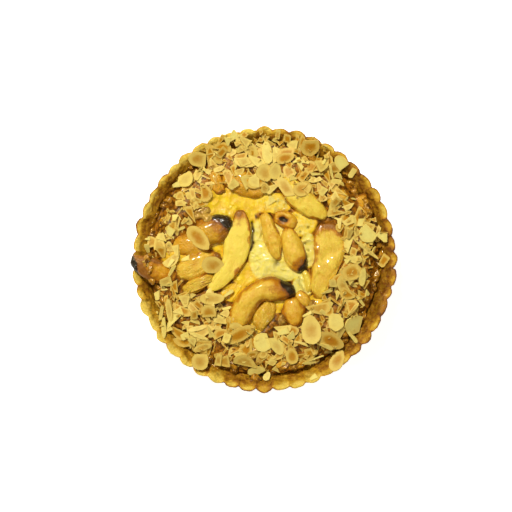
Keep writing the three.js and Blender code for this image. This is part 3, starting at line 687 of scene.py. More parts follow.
def crust_profile():
    """The crust's section, rounded at its corners: r, z, flutes, crest, browning, glaze and edge."""
    rim = RIM_RADIUS - RIM_THICKNESS
    corners = np.array([
        (0, 0, 0, 0, 0.5, 0, 0),
        (FOOT_RADIUS - 3, 0, 0.8, 0, 0.5, 0, 0),
        (FOOT_RADIUS, 0.4, 1, 0, 0.55, 0, 0),
        (RIM_RADIUS - 1.2, CRUST_HEIGHT - 5, 1, 0.3, 0.3, 0, 0.5),
        (RIM_RADIUS + 0.3, CRUST_HEIGHT - 1.6, 1, 0.6, 0.3, 0, 1.1),
        (RIM_RADIUS - 0.3, CRUST_HEIGHT + 0.1, 0.95, 0.9, 0.2, 0, 0.9),
        (RIM_RADIUS - 1.8, CRUST_HEIGHT + 0.3, 0.85, 1, 0.12, 0.1, 0),
        (rim + 1.4, CRUST_HEIGHT - 0.8, 0.6, 0.9, 0.3, 0.3, 0),
        (rim - 0.6, CRUST_HEIGHT - 3, 0.35, 0.6, 0.62, 0.8, 0),
        (SHOULDER_RADIUS, SHOULDER_HEIGHT, 0.1, 0, 0.72, 1, 0),
        (FLOOR_RADIUS, FLOOR_THICKNESS, 0, 0, 0.5, 1, 0),
        (0, FLOOR_THICKNESS, 0, 0, 0.5, 1, 0),
    ], float)
    middle = corners[1:-1]
    for _ in range(3):  # each pass cuts every corner at a quarter of its sides
        full = np.vstack([corners[:1], middle, corners[-1:]])
        near = 0.75 * full[:-1] + 0.25 * full[1:]
        far = 0.25 * full[:-1] + 0.75 * full[1:]
        middle = np.stack([near, far], 1).reshape(-1, full.shape[1])[1:-1]
    full = np.vstack([corners[:1], middle, corners[-1:]])
    walked = np.concatenate([[0], np.cumsum(np.hypot(*np.diff(full[:, :2], axis=0).T))])
    fine = np.arange(walked[np.argmax(full[:, 0] > FOOT_RADIUS - 4)], walked[-1] - FLOOR_RADIUS, 0.8)
    coarse = np.array([0, 18, 36, 54, 70, 82])
    steps = np.unique(np.concatenate([coarse, fine, walked[-1] - coarse]))
    return np.stack([np.interp(steps, walked, column) for column in full.T], 1)


def crust_mesh(sizes):
    names = ("flute", "crest", "bake", "glaze", "edge")
    mesh = turned_mesh("crust_piece", (crust_profile(), names), FLUTES * sizes.steps_per_flute)
    co = vertex_places(mesh)
    flute, crest, bake, glaze, edge = (read_layer(mesh, name) for name in names)
    angle = np.arctan2(co[:, 1], co[:, 0])
    r = np.hypot(co[:, 0], co[:, 1])
    round_about = np.stack([60 * np.cos(angle), 60 * np.sin(angle), 0 * angle], 1)
    number = np.round(angle * FLUTES / (2 * np.pi)) % FLUTES
    wander = 0.6 * grain(round_about, 9, 61) * (number % (FLUTES / 4) != 0)
    lobe = np.abs(np.cos(angle * FLUTES / 2 + wander)) ** 0.7
    depth = FLUTE_DEPTH * (1 - np.where(number % (FLUTES / 4) == 0, 0, 0.5 * chance(number, 1)))
    rough = grain(co, 5, 3, 3)
    r_new = r - flute * (FLUTE_DEPTH - depth * lobe) + crest * 0.9 * np.minimum(rough, 0.25)
    rise = crest * lobe * (1.4 * chance(number, 2) - 1) + crest * 1.1 * grain(co, 4.5, 5, 2)
    rise = np.where(co[:, 2] > 5, rise, 0)
    share = np.where(r > 1e-6, r_new / np.maximum(r, 1e-6), 0)
    co = np.stack([co[:, 0] * share, co[:, 1] * share, co[:, 2] + rise], 1)
    move_vertices(mesh, co)
    above_foot = smoothstep(0.5, 3, co[:, 2])
    lumps = 1.3 * grain(co, 6.5, 9, 2) + 0.9 * ridges(co, 5, 15) - 0.4
    relief = (0.4 * grain(co, 2.6, 7, 3) + glaze * lumps) * above_foot - 0.35 * (crest > 0)
    co = swell(mesh, co, relief)
    co[:, :2] *= np.minimum(1, RIM_RADIUS / np.maximum(np.hypot(co[:, 0], co[:, 1]), 1))[:, None]
    co[:, 2] = np.clip(co[:, 2], 0, None)
    move_vertices(mesh, co)
    degrees = np.degrees(angle) % 360
    upright = smoothstep(8, 24, co[:, 2])
    browner = round_the_tart(CRUST_TONES, degrees) + 0.5 * (chance(number, 4) - 0.5)
    # Besides the browning by angle, the notches between flutes get painted shade and the crests painted
    # light.
    bake = bake + upright * (browner + 0.65 * (0.68 - lobe) * flute)
    bake += edge * round_the_tart(CRUST_TONES, degrees, 2)
    paint_vertices(mesh, bake=np.clip(bake, 0, 1.2), glaze=glaze)
    return mesh


# ---- custard

def pile_share(angle):
    share = 0
    for middle, half_width in PILES:
        turn = np.abs(turn_between(np.degrees(angle), middle))
        share = share + 1 - smoothstep(0.5 * half_width, 1.2 * half_width, turn)
    return share


def custard_height(x, y):
    radius = np.hypot(x, y)
    pile = PILE_HEIGHT * bell(radius - PILE_RADIUS, 14)
    bare = 1 - 0.6 * pile_share(np.arctan2(y, x))
    drop = EDGE_DROP * bare * smoothstep(77, 86, radius)
    waves = 0.7 * np.sin(x / 9 + 1.3) * np.cos(y / 8) + 0.4 * np.sin(x / 5 - y / 6.5)
    return CUSTARD_LEVEL + pile - drop + waves


# Open custard: place, reach along x and y, and how creamy it is (0 glossy yellow, 1 cream).
CUSTARD_PATCHES = (
    (-25, 42, 27, 15, 0.0), (2, 43, 11, 9, 0.4), (-1, 8, 13, 28, 1.0), (10, -9, 22, 9, 1.0),
    (33, 7, 8, 15, 0.9), (27, 27, 14, 11, 0.5), (-13, -11, 14, 10, 0.2), (29, -19, 9, 11, 0.8),
    (-14, 30, 8, 12, 0.3), (12, 12, 10, 20, 0.7), (8, -34, 14, 7, 0.2), (-22, -25, 12, 8, 0.1),
    (-35, 8, 9, 9, 0.3), (10, 42, 12, 9, 0.5), (-36, -13, 8, 6, 0.0), (40, -32, 9, 7, 0.2),
    (-14, -50, 16, 8, 0.1), (-62, 0, 16, 14, 0.0),
)
# Holes in it: place, radius, depth.
CUSTARD_HOLES = (
    (9.5, -2.5, 2.4, 2.2), (31.5, 2, 1.1, 1.2), (33, 7, 0.9, 1.0), (30.5, 12, 1.2, 1.2),
    (3, 27, 0.8, 1.0), (14, 33, 1.2, 1.6), (-2, 30, 0.8, 0.8), (33, 24, 1.0, 1.2), (27, 21, 0.8, 1.0),
)
# Cracks: the points along each, then its half width and depth.
CUSTARD_CRACKS = (
    (((-9.5, 28), (-8.5, 22), (-9, 16), (-8.5, 12), (-10.5, 7.5)), 1.0, 2.6),
    (((12, 54), (15, 47), (21, 40), (28, 35.5), (34, 31)), 0.9, 1.6),
    (((-3, 24), (-1.5, 19), (-3, 16)), 0.7, 0.8), (((26, -13), (26.5, -19), (30, -24)), 0.7, 1.2),
    (((-39, -24), (-33, -24), (-27, -22), (-21, -16)), 0.8, 0.8),
)


def distance_to_line(x, y, points):
    """How far places are from a line through a list of points."""
    nearest = np.full(len(x), np.inf)
    for (x0, y0), (x1, y1) in itertools.pairwise(points):
        run, rise = x1 - x0, y1 - y0
        share = np.clip(((x - x0) * run + (y - y0) * rise) / (run ** 2 + rise ** 2), 0, 1)
        nearest = np.minimum(nearest, np.hypot(x - x0 - share * run, y - y0 - share * rise))
    return nearest


def custard_mesh(sizes, apples):
    edge = SHOULDER_RADIUS - 1
    base = FLOOR_THICKNESS + GAP
    side = [(FLOOR_RADIUS - GAP, base), (FLOOR_RADIUS + 1, SHOULDER_HEIGHT / 2), (edge, 16)]
    top = [(r, 20) for r in np.arange(edge - 0.8, 0.4, -0.8)]
    section = [(0, base), *side, *top, (0, 20)]
    mesh = turned_mesh("custard_piece", (section, ()), sizes.custard_steps)
    co = vertex_places(mesh)
    x, y = co[:, 0], co[:, 1]
    surface = co[:, 2] > SHOULDER_HEIGHT * 0.6
    height = custard_height(x, y)
    bare, cream = np.zeros(len(co)), np.zeros(len(co))
    for px, py, reach_x, reach_y, creamy in CUSTARD_PATCHES:
        share = 1 - smoothstep(0.6, 1.1, np.hypot((x - px) / reach_x, (y - py) / reach_y))
        cream = np.maximum(cream, share * creamy)
        bare = np.maximum(bare, share)
    flat = co * (1, 1, 0)
    outside = smoothstep(50, 66, np.hypot(x, y))
    relief = 0.6 * grain(flat, 9, 21, 3) + (0.2 + 0.5 * outside) * grain(flat, 3.2, 23, 2)
    relief += bare * (1.0 * ridges(flat, 7, 25) + 0.3 * grain(flat, 3, 33, 2) - 0.4)
    # Painted shade: the holes and cracks are darkened, the deeper the darker.
    scorch = np.zeros(len(co))
    for hx, hy, radius, depth in CUSTARD_HOLES:
        near = bell(np.hypot(x - hx, y - hy), radius)
        relief -= depth * near
        scorch = np.maximum(scorch, 0.7 * near)
    for points, width, depth in CUSTARD_CRACKS:
        near = bell(distance_to_line(x, y, points) + 0.8 * grain(flat, 3, 29, 2), width)
        relief -= depth * near
        scorch = np.maximum(scorch, near * min(1, depth / 2.6) ** 1.5)
    tree, _ = apples
    groove = np.zeros(len(co))
    for i in np.flatnonzero(surface & (np.hypot(x, y) < 78)):
        hit = tree.find_nearest(Vector((x[i], y[i], height[i])), 3.0)
        if hit[0] is not None:
            groove[i] = 0.7 * bell(hit[3], 0.8)
    relief -= groove
    co[:, 2] = np.where(surface, height + relief * smoothstep(86.5, 83, np.hypot(x, y)), co[:, 2])
    move_vertices(mesh, co)
    paint_vertices(mesh, bare=bare, cream=cream, scorch=np.clip(scorch, 0, 1))
    return mesh


# ---- apples

def blunt(wave, power):
    """A sine or cosine that makes a round section squarer, the more the smaller the power."""
    return np.sign(wave) * np.abs(wave) ** power


# How an apple piece looks where its own entry doesn't say.
PLAIN_LOOK = dict(pitch=0, flat=0, square=0.85, lean=0, char=0, char_lean=0.12, tip=0, side=0,
                  glow=0.25, streaks=0.15, layers=0)
# A piece longer than this, in mm, gets the finer mesh.
LARGE_APPLE = 30
# Segments round and along an apple piece, by whether it is a large one.
APPLE_SEGMENTS = {True: (72, 64), False: (48, 36)}


def apple_stations(piece):
    """The stations of an apple piece's spine; a small piece's follow from its length and width."""
    if "stations" in piece:
        return piece["stations"]
    turn = math.radians(piece["heading"])
    half_width = piece["width"] / 2
    return [(piece["x"] + reach * math.cos(turn), piece["y"] + reach * math.sin(turn),
             half_width, half_width) for reach in (-piece["length"] / 2, 0, piece["length"] / 2)]


def apple_mesh(name, piece, seed):
    """A rounded piece along its spine, with the dents and edges of baked fruit."""
    look = PLAIN_LOOK | piece
    stations = apple_stations(piece)
    length = sum(math.dist(one[:2], other[:2]) for one, other in itertools.pairwise(stations))
    round_it, along_it = APPLE_SEGMENTS[length > LARGE_APPLE]
    bm = bmesh.new()
    bmesh.ops.create_uvsphere(bm, u_segments=round_it, v_segments=along_it, radius=1)
    bmesh.ops.rotate(bm, verts=bm.verts, cent=(0, 0, 0), matrix=Matrix.Rotation(math.pi / 2, 3, "Y"))
    mesh = finished_mesh(bm, name + "_piece")
    unit = vertex_places(mesh)
    along = np.clip(unit[:, 0], -1, 1)
    around = np.arctan2(unit[:, 2], unit[:, 1])
    spread = np.sqrt(np.hypot(unit[:, 1], unit[:, 2]))
    across = blunt(np.cos(around), look["square"]) * spread
    lift = blunt(np.sin(around), 0.85) * spread
    top = smoothstep(0.1, 0.6, lift)
    lift = lift - top * look["flat"] * np.maximum(lift - 0.55, 0) + 0.3 * look["lean"] * across * top
    share = (along + 1) / 2
    middle = curve_through(stations, share)
    ahead = curve_through(stations, share + 0.01)[:, :2] - curve_through(stations, share - 0.01)[:, :2]
    ahead /= np.linalg.norm(ahead, axis=1, keepdims=True)
    reach = np.where(across > 0, middle[:, 2], middle[:, 3]) * across
    climb = along * length / 2 * math.tan(math.radians(look["pitch"]))
    co = np.stack([middle[:, 0] - ahead[:, 1] * reach, middle[:, 1] + ahead[:, 0] * reach,
                   look["level"] + lift * look["height"] / 2 + climb], 1)
    lumps = look["lumps"]
    sway = np.stack([grain(co, 9, seed + 6, 2), grain(co, 9, seed + 7, 2)], 1)
    co[:, :2] += 0.8 * lumps * spread[:, None] * sway
    move_vertices(mesh, co)
    relief = lumps * (0.9 * grain(co, 11, seed, 2) + 0.45 * grain(co, 4, seed + 1, 2))
    folds = np.stack([along * length * 0.3, across * 12, lift * 4], 1)
    relief -= 0.8 * lumps * ridges(folds, 7, seed + 2)
    layers = 0.4 * look["layers"] * np.sin(across * 16 + along * 3)
    relief += layers
    char = look["char"]
    burnt = near_char = np.zeros(len(co))
    if char:
        reached = along + 0.15 * grain(co, 5, seed + 3, 2) + look["char_lean"] * across
        burnt = smoothstep(1 - 2 * char, 1 - 0.7 * char, reached)
        near_char = smoothstep(0.5 - 2 * char, 1 - 1.4 * char, reached)
    # The hollow is coloured char-black inside and browned round it.
    if "hollow" in look:
        x, y, radius = look["hollow"]
        wavy = 1.2 * grain(co, 4, seed + 4, 2)
        inside = top * bell(np.hypot(0.8 * (co[:, 0] - x), 1.1 * (co[:, 1] - y)) + wavy, radius)
        relief -= 3 * inside
        burnt = smoothstep(0.4, 0.7, inside)
        near_char = smoothstep(0.1, 0.4, inside)
    relief += 0.4 * burnt * grain(co, 1.8, seed + 4, 2)
    co = swell(mesh, co, relief)
    move_vertices(mesh, co)
    outwards = np.abs(across) / np.maximum(spread, 0.3)
    rim = smoothstep(0.5, 1.0, outwards + 0.35 * grain(co, 6, seed + 5, 2))
    if look["side"]:
        rim *= smoothstep(0, 0.3, across * look["side"])
    ends = smoothstep(0.75, 1.0, np.abs(along))
    tip_brown = abs(look["tip"]) * smoothstep(0.4, 1.0, along * np.sign(look["tip"]))
    brown = look["edge"] * np.maximum(rim, 0.7 * ends) + tip_brown + 0.7 * near_char
    brown += 0.22 * (1 - look["pale"]) - 0.05 + layers
    paint_vertices(mesh, brown=np.clip(brown, 0, 1), char=burnt,
                   **{layer: look[layer] for layer in ("pale", "glow", "streaks", "layers")})
    set_uv(mesh, "spine", np.stack([along * length / 2, across * look["height"]], 1))
    return mesh


# ---- almonds

# How much narrower an almond is towards one end.
TAPER = 0.14
# A slice's vertices this near to its outline make up its rim, where a pale line is painted as
# highlight.
RIM_MARGIN = 0.03
# Edges of almond sharper than this, in degrees, stay sharp.
SHARP_ANGLE = 35


class Slice:
    """One cut shape of flaked almond: its joined mesh, and the cuts that bound it."""

    def __init__(self, length, width, cuts, corners, thickness, bend, seed):
        self.cuts = cuts
        self.half = np.array([length / 2, width / 2])
        bm = bmesh.new()
        bmesh.ops.create_circle(bm, cap_ends=True, segments=corners, radius=1)
        for corner in bm.verts:
            corner.co.y *= 1 - TAPER * corner.co.x
        for normal, reach in cuts:
            bmesh.ops.bisect_plane(bm, geom=bm.verts[:] + bm.edges[:] + bm.faces[:], dist=1e-5,
                                   plane_co=(normal[0] * reach, normal[1] * reach, 0),
                                   plane_no=(*normal, 0), clear_outer=True)
        bmesh.ops.scale(bm, vec=(length / 2, width / 2, 1), verts=bm.verts)
        bmesh.ops.poke(bm, faces=bm.faces[:])
        bmesh.ops.solidify(bm, geom=bm.faces[:], thickness=thickness)
        bmesh.ops.recalc_face_normals(bm, faces=bm.faces)
        bmesh.ops.triangulate(bm, faces=bm.faces)
        mesh = finished_mesh(bm, "slice")
        co = vertex_places(mesh)
        self.uv = co[:, :2] / self.half
        self.rim = (self.margin(*self.uv.T) < RIM_MARGIN).astype(float)
        self.centre = (co[:, :2].min(0) + co[:, :2].max(0)) / 2
        co[:, 2] -= (co[:, 2].min() + co[:, 2].max()) / 2
        bowl = ((co[:, 0] - self.centre[0]) / length * 2) ** 2
        relief = 0.12 * grain(co + 40 * seed, 3, seed, 2) * (np.abs(co[:, 2]) > 0)
        co[:, 2] += bend * bowl - bend * 0.3 + relief
        flat = co * (1, 1, 0)
        ragged = [grain(flat + 9 * seed, 2.2, seed + 1), grain(flat - 9 * seed, 2.2, seed + 2)]
        co[:, :2] += 0.035 * min(length, width) * np.stack(ragged, 1)
        co[:, :2] -= self.centre
        self.co = co
        self.faces = triangle_corners(mesh)
        bpy.data.meshes.remove(mesh)

    def margin(self, u, v):
        """How far inside the outline a point lies, from the slice's own coordinates (-1 to 1)."""
        inside = 1 - np.hypot(u, v / (1 - TAPER * u))
        for normal, reach in self.cuts:
            inside = np.minimum(inside, reach - u * normal[0] - v * normal[1])
        return inside

    def covers(self, along, across):
        """Which points of the plane, in mm from the slice's middle, the slice covers."""
        u, v = (along + self.centre[0]) / self.half[0], (across + self.centre[1]) / self.half[1]
        return self.margin(u, v) > 0


class Ground:
    """The height of what the almonds lie on, seen from above, on a square grid."""

    CELL = 0.6
    NOTHING = -5.0  # the height where nothing lies
    HELD = 0.6  # the share of a slice that has to lie on something
    DIP = 2  # how far under its lowest third a slice feels what is there
    OVERLAP = 1.2  # how far the highest point under a slice may reach into it

    def __init__(self, tree, owners):
        self.count = int(2 * RIM_RADIUS / self.CELL) + 1
        line = np.linspace(-RIM_RADIUS, RIM_RADIUS, self.count)
        self.height = np.full((self.count, self.count), self.NOTHING)
        self.owner = np.full((self.count, self.count), -1)
        down = Vector((0, 0, -1))
        for i, x in enumerate(line):
            for j, y in enumerate(line):
                if x * x + y * y < RIM_RADIUS ** 2:
                    hit = tree.ray_cast(Vector((x, y, 2 * CRUST_HEIGHT)), down)
                    if hit[0] is not None:
                        self.height[i, j] = hit[0].z
                        self.owner[i, j] = owners[hit[2]]

    def cell(self, value):
        return np.clip(np.round((value + RIM_RADIUS) / self.CELL).astype(int), 0, self.count - 1)

    def at(self, x, y):
        return self.height[self.cell(x), self.cell(y)]

    def owner_at(self, x, y):
        return self.owner[self.cell(np.array(x)), self.cell(np.array(y))]

    def lay(self, shape, x, y, heading, scale, tilt, roll, sink, thickness, steepest):
        """Rests a slice on what lies there. Returns its turn and place, and raises the ground.

        Returns None where too little lies under it.
        """
        cos, sin = math.cos(heading), math.sin(heading)
        reach = scale * float(np.abs(shape.co[:, :2]).max()) + self.CELL
        offsets = np.arange(-reach, reach + self.CELL, self.CELL)
        grid_x, grid_y = (part.ravel() for part in np.meshgrid(offsets, offsets, indexing="ij"))
        along = grid_x * cos + grid_y * sin
        across = -grid_x * sin + grid_y * cos
        inside = shape.covers(along / scale, across / scale)
        if inside.sum() < 3:
            return None
        grid_x, grid_y = grid_x[inside], grid_y[inside]
        column, row = self.cell(x + grid_x), self.cell(y + grid_y)
        held = self.height[column, row] > 0
        if held.mean() < self.HELD:
            return None
        grid_x, grid_y, column, row = grid_x[held], grid_y[held], column[held], row[held]
        found = self.height[column, row]
        found = np.maximum(found, np.quantile(found, 0.3) - self.DIP)
        design = np.stack([np.ones(len(found)), grid_x, grid_y], 1)
        _, rise_x, rise_y = np.linalg.lstsq(design, found, rcond=None)[0]
        slope = math.hypot(rise_x, rise_y)
        if slope > steepest:
            rise_x, rise_y = rise_x * steepest / slope, rise_y * steepest / slope
        rise_x += tilt * cos - roll * sin
        rise_y += tilt * sin + roll * cos
        spare = found - rise_x * grid_x - rise_y * grid_y
        level = max(np.quantile(spare, 0.9) - sink, spare.max() - self.OVERLAP) + thickness / 2
        plane = level + rise_x * grid_x + rise_y * grid_y
        self.height[column, row] = np.maximum(self.height[column, row], plane + thickness / 2)
        up = Vector((-rise_x, -rise_y, 1)).normalized()
        ahead = Vector((cos, sin, cos * rise_x + sin * rise_y)).normalized()
        left = up.cross(ahead)
        turn = Matrix((ahead, left, up)).transposed()
        return np.array(turn), np.array((x, y, level))


def random_cuts(draw):
    """One to three straight breaks across a slice: the direction out and how far from its middle."""
    cuts = []
    angle = draw.uniform(0, 2 * math.pi)
    for number in range(draw.choice([1, 2, 3, 3])):
        angle += draw.uniform(1.3, 2.5)
        reach = draw.uniform(0.05, 0.5) if number else draw.uniform(-0.15, 0.35)
        cuts.append(((math.cos(angle), math.sin(angle)), reach))
    return cuts


def joined_mesh(name, parts):
    """One mesh from laid slices: each part is a shape, its turn, place, scale, hue and toast."""
    corners, faces, tones = [], [], []
    start = 0
    for shape, turn, place, scale, hue, toast in parts:
        corners.append((shape.co * scale) @ turn.T + place)
        faces.append(shape.faces + start)
        tones.append(np.full((len(shape.co), 2), (hue, toast)))
        start += len(shape.co)
    mesh = bpy.data.meshes.new(name)
    mesh.from_pydata(np.concatenate(corners).tolist(), [], np.concatenate(faces).tolist())
    mesh.update()
    shapes = [part[0] for part in parts]
    set_uv(mesh, "slice", np.concatenate([shape.uv for shape in shapes]))
    hue, toast = np.concatenate(tones).T
    paint_vertices(mesh, rim=np.concatenate([shape.rim for shape in shapes]), hue=hue, toast=toast)
    mesh.shade_smooth()
    mesh.set_sharp_from_angle(angle=math.radians(SHARP_ANGLE))
    return mesh


# How each kind of almond is laid: the range of its scale (least, more), the range of its tilt and
# roll, how far it sinks, how thick it counts, and the steepest slope that it follows.
SCATTER_LAY = dict(scale=(0.6, 0.6), tilt=0.36, sink=0.7, thickness=0.9, steepest=0.35)
LARGE_LAY = dict(scale=(1.0, 0.0), tilt=0.16, sink=0.5, thickness=1.1, steepest=0.6)
CRUMB_LAY = dict(scale=(0.7, 0.7), tilt=1.2, sink=0.3, thickness=0.8, steepest=0.6)
# A broken slice shorter than this, in mm, is cut at its sides too.
SHORT_ALMOND = 13.5
# How much larger than listed the slices are cut.
LARGE_MARGIN = 1.04
# The steps of an even two-way sequence, and how many of its places are tried.
EVEN_STEPS = (0.7548776662, 0.5698402910)
TRIES = 40000
CRUMB_SHAPES = 14


def lay_by(rule, ground, shape, x, y, heading, scale, tilt, roll):
    """Lays a slice by one of the rules; scale, tilt and roll are draws from 0 to 1."""
    least, more = rule["scale"]
    scale = least + more * scale
    tilt, roll = rule["tilt"] * (tilt - 0.5), rule["tilt"] * (roll - 0.5)
    laid = ground.lay(shape, x, y, heading, scale, tilt, roll,
                      rule["sink"], rule["thickness"], rule["steepest"])
    return laid and (shape, *laid, scale)


def scattered_parts(sizes, ground, names):
    """Broken almond over the ring between the apples and the rim, the lowest pieces first."""
    draw = np.random.default_rng(sizes.seed)
    shapes = []
    for number in range(sizes.almond_shapes):
        length, width = draw.uniform(13, 20), draw.uniform(8.5, 12)
        shapes.append(Slice(length, width, random_cuts(draw), 14, draw.uniform(0.7, 1.1),
                            draw.uniform(-0.8, 1.2), number))
    parts = []
    bare = [names.index(name) for name in BARE_APPLES]
    number = 0
    while len(parts) < sizes.scattered_almonds and number < TRIES:
        number += 1
        x, y = (RIM_RADIUS * (2 * ((number * step) % 1) - 1) for step in EVEN_STEPS)
        angle = math.degrees(math.atan2(y, x)) % 360
        radius = math.hypot(x, y)
        shape = shapes[draw.integers(len(shapes))]
        heading, scale, tilt, roll, hue, toast, keep = draw.uniform(0, 1, 7)
        inner, outer = round_the_tart(SCATTER_INNER, angle), round_the_tart(SCATTER_OUTER, angle)
        if radius < inner + 6 * keep - 3 or radius > outer - 3 * keep:
            continue
        if ground.owner_at(x, y) in bare:
            continue
        laid = lay_by(SCATTER_LAY, ground, shape, x, y, 2 * math.pi * heading, scale, tilt, roll)
        if laid:
            # The pieces laid first lie lowest: painted shade gives them a more golden-brown tone.
            painted_depth_shade = 1 - len(parts) / sizes.scattered_almonds
            parts.append((*laid, 1.2 * hue ** 1.2 + 0.6 * painted_depth_shade - 0.1, 0.7 * toast ** 2))
    return parts


def large_parts(ground):
    """The slices that stand out, each in its place from the table."""
    parts = []
    for number, (x, y, length, width, heading, share, hue, toast) in enumerate(LARGE_ALMONDS):
        cuts = []
        if share < 1:
            turn = 0.5 * (chance(number, 31) - 0.5)
            cuts.append(((math.cos(turn), math.sin(turn)), 2 * share - 1))
            for side in (1, -1) if length < SHORT_ALMOND else ():
                turn = side * (1.3 + 0.9 * chance(number, 36 + side))
                cuts.append(((math.cos(turn), math.sin(turn)), 0.4 + 0.4 * chance(number, 40 + side)))
        bend = 1.4 * chance(number, 32) - 0.5
        shape = Slice(length * LARGE_MARGIN, width * LARGE_MARGIN, cuts, 26, 1.1, bend, number + 100)
        laid = lay_by(LARGE_LAY, ground, shape, x, y, math.radians(heading), 0,
                      chance(number, 33), chance(number, 34))
        if laid:
            parts.append((*laid, hue, toast))
    return parts


def crumb_parts(sizes, ground):
    """Small broken bits over the same ring and a little past it."""
    draw = np.random.default_rng(sizes.seed + 1)
    shapes = [Slice(draw.uniform(3, 8), draw.uniform(1.6, 3.5), random_cuts(draw), 6, 0.8, 0.2, 300 + n)
              for n in range(CRUMB_SHAPES)]
    parts = []
    while len(parts) < sizes.crumbs:
        x, y = draw.uniform(-RIM_RADIUS, RIM_RADIUS, 2)
        angle = math.degrees(math.atan2(y, x)) % 360
        radius = math.hypot(x, y)
        shape = shapes[draw.integers(len(shapes))]
        heading, scale, tilt, roll, hue, toast, _ = draw.uniform(0, 1, 7)
        inner, outer = round_the_tart(SCATTER_INNER, angle), round_the_tart(SCATTER_OUTER, angle)
        if not inner - 2 < radius < outer + 4:
            continue
        laid = lay_by(CRUMB_LAY, ground, shape, x, y, 2 * math.pi * heading, scale, tilt, roll)
        if laid:
            parts.append((*laid, hue, 0.5 * toast))
    return parts


# The lumps' half height, how deep they sink, and how rough they are.
JELLY_SHAPE = (1.5, 0.6, 1.5)
GLAZE_SHAPE = (2.2, 0.9, 1.6)
# Lumps of apple jelly between the almonds: place, length, width, direction.
JELLY = (
    (-48, 36, 17, 11, 20), (-42, 30, 10, 7, -30), (-11, -70, 15, 9, 10), (-3, -74, 11, 7, 60),
    (38, -36, 14, 9, -40), (12, -46, 11, 8, 30), (-60, -62, 12, 7, 40), (-36, 68, 11, 7, 10),
)


def lumps_mesh(name, lumps, ground, height, sink, rough):
    """Flat uneven lumps, each lying on what is there."""
    bm = bmesh.new()
    for x, y, length, width, heading in lumps:
        made = bmesh.ops.create_uvsphere(bm, u_segments=28, v_segments=14, radius=1)["verts"]
        bmesh.ops.scale(bm, vec=(length / 2, width / 2, height), verts=made)
        turn = Matrix.Rotation(math.radians(heading), 3, "Z")
        bmesh.ops.rotate(bm, verts=made, cent=(0, 0, 0), matrix=turn)
        bmesh.ops.translate(bm, vec=(x, y, float(ground.at(x, y)) - sink), verts=made)
    mesh = finished_mesh(bm, name)
    co = vertex_places(mesh)
    move_vertices(mesh, swell(mesh, co, rough * grain(co, 3.5, 41, 2)))
    return mesh


def glaze_lumps(sizes):
    """Where baked glaze bridges the groove between the filling and the wall."""
    draw = np.random.default_rng(sizes.seed + 2)
    lumps = []
    for number in range(sizes.glaze_lumps):
        angle = 2 * math.pi * (number + 0.8 * draw.uniform()) / sizes.glaze_lumps
        radius = draw.uniform(80, 90.5)
        length, width, turn = draw.uniform(6, 13), draw.uniform(3.5, 7), draw.uniform(-35, 35)
        lumps.append((radius * math.cos(angle), radius * math.sin(angle), length, width,
                      math.degrees(angle) + 90 + turn))
    return lumps


# ---- properties

class TartSizes(bpy.types.PropertyGroup):
    """How finely the tart is built and how much lies on it."""

    steps_per_flute: bpy.props.IntProperty(
        name="Steps per flute", description="Faces round each flute of the crust", default=18,
        min=4, max=40)
    custard_steps: bpy.props.IntProperty(
        name="Custard steps", description="Faces round the custard", default=480,
        min=60, max=800)
    scattered_almonds: bpy.props.IntProperty(
        name="Scattered almonds", description="Broken pieces of almond round the tart", default=430,
        min=0)
    almond_shapes: bpy.props.IntProperty(
        name="Almond shapes", description="Different broken shapes that the scatter draws from",
        default=28, min=1)
    crumbs: bpy.props.IntProperty(
        name="Crumbs", description="Crumbs of almond between the slices", default=130, min=0)
    glaze_lumps: bpy.props.IntProperty(
        name="Glaze lumps", description="Lumps of baked glaze along the wall", default=84, min=0)
    seed: bpy.props.IntProperty(name="Seed", description="Start of every random draw", default=11)
    camera_height: bpy.props.FloatProperty(
        name="Camera height", description="From the rim up to the camera", default=0.743, min=0.1,
        subtype="DISTANCE", unit="LENGTH")


def colour_property(name, description, red, green, blue):
    return bpy.props.FloatVectorProperty(
        name=name, description=description, default=tone(red, green, blue), size=4, min=0, max=1,
        subtype="COLOR")


class TartColours(bpy.types.PropertyGroup):
    """The colours of the tart's finishes."""

    crust_pale: colour_property("Pale crust", "Crust that has hardly browned", 230, 194, 66)
    crust_golden: colour_property("Golden crust", "Crust baked golden", 212, 162, 40)
    crust_brown: colour_property("Brown crust", "Browned bands of the crust", 166, 106, 26)
    crust_dark: colour_property("Dark crust", "The darkest edges of the crust", 104, 50, 12)
    custard: colour_property("Custard", "Glossy yellow custard", 242, 206, 30)
    cream: colour_property("Cream", "Pale creamy custard", 238, 220, 92)
    apple_pale: colour_property("Pale apple", "Apple flesh that stayed pale", 242, 214, 76)
    apple_golden: colour_property("Golden apple", "Baked apple flesh", 220, 160, 30)
    apple_brown: colour_property("Brown apple", "Browned edges of the apple", 192, 122, 10)
    char: colour_property("Char", "Burnt tips", 30, 18, 8)
    almond_pale: colour_property("Pale almond", "Almond that has hardly browned", 238, 222, 122)
    almond_golden: colour_property("Golden almond", "Almond toasted all through", 188, 132, 20)
    almond_toasted: colour_property(
        "Toasted almond", "The brown middle of a toasted slice", 182, 112, 10)


# ---- operators

class TART_OT_crust(bpy.types.Operator):
    """Build the fluted pastry case"""

    bl_idname = "tart.crust"
    bl_label = "Fluted Crust"

    def execute(self, context):
        scene = context.scene
        material = crust_finish(scene.tart_colours)
        place_piece("fluted_crust", crust_mesh(scene.tart_sizes), material, ["crust"])
        return {"FINISHED"}


class TART_OT_apples(bpy.types.Operator):
    """Build the baked apple pieces"""

    bl_idname = "tart.apples"
    bl_label = "Apple Pieces"

    def execute(self, context):
        material = apple_finish(context.scene.tart_colours)
        for number, (name, piece) in enumerate(APPLES.items()):
            mesh = apple_mesh(name, piece, 50 + 7 * number)
            place_piece("baked_" + name, mesh, material, [name])
        return {"FINISHED"}


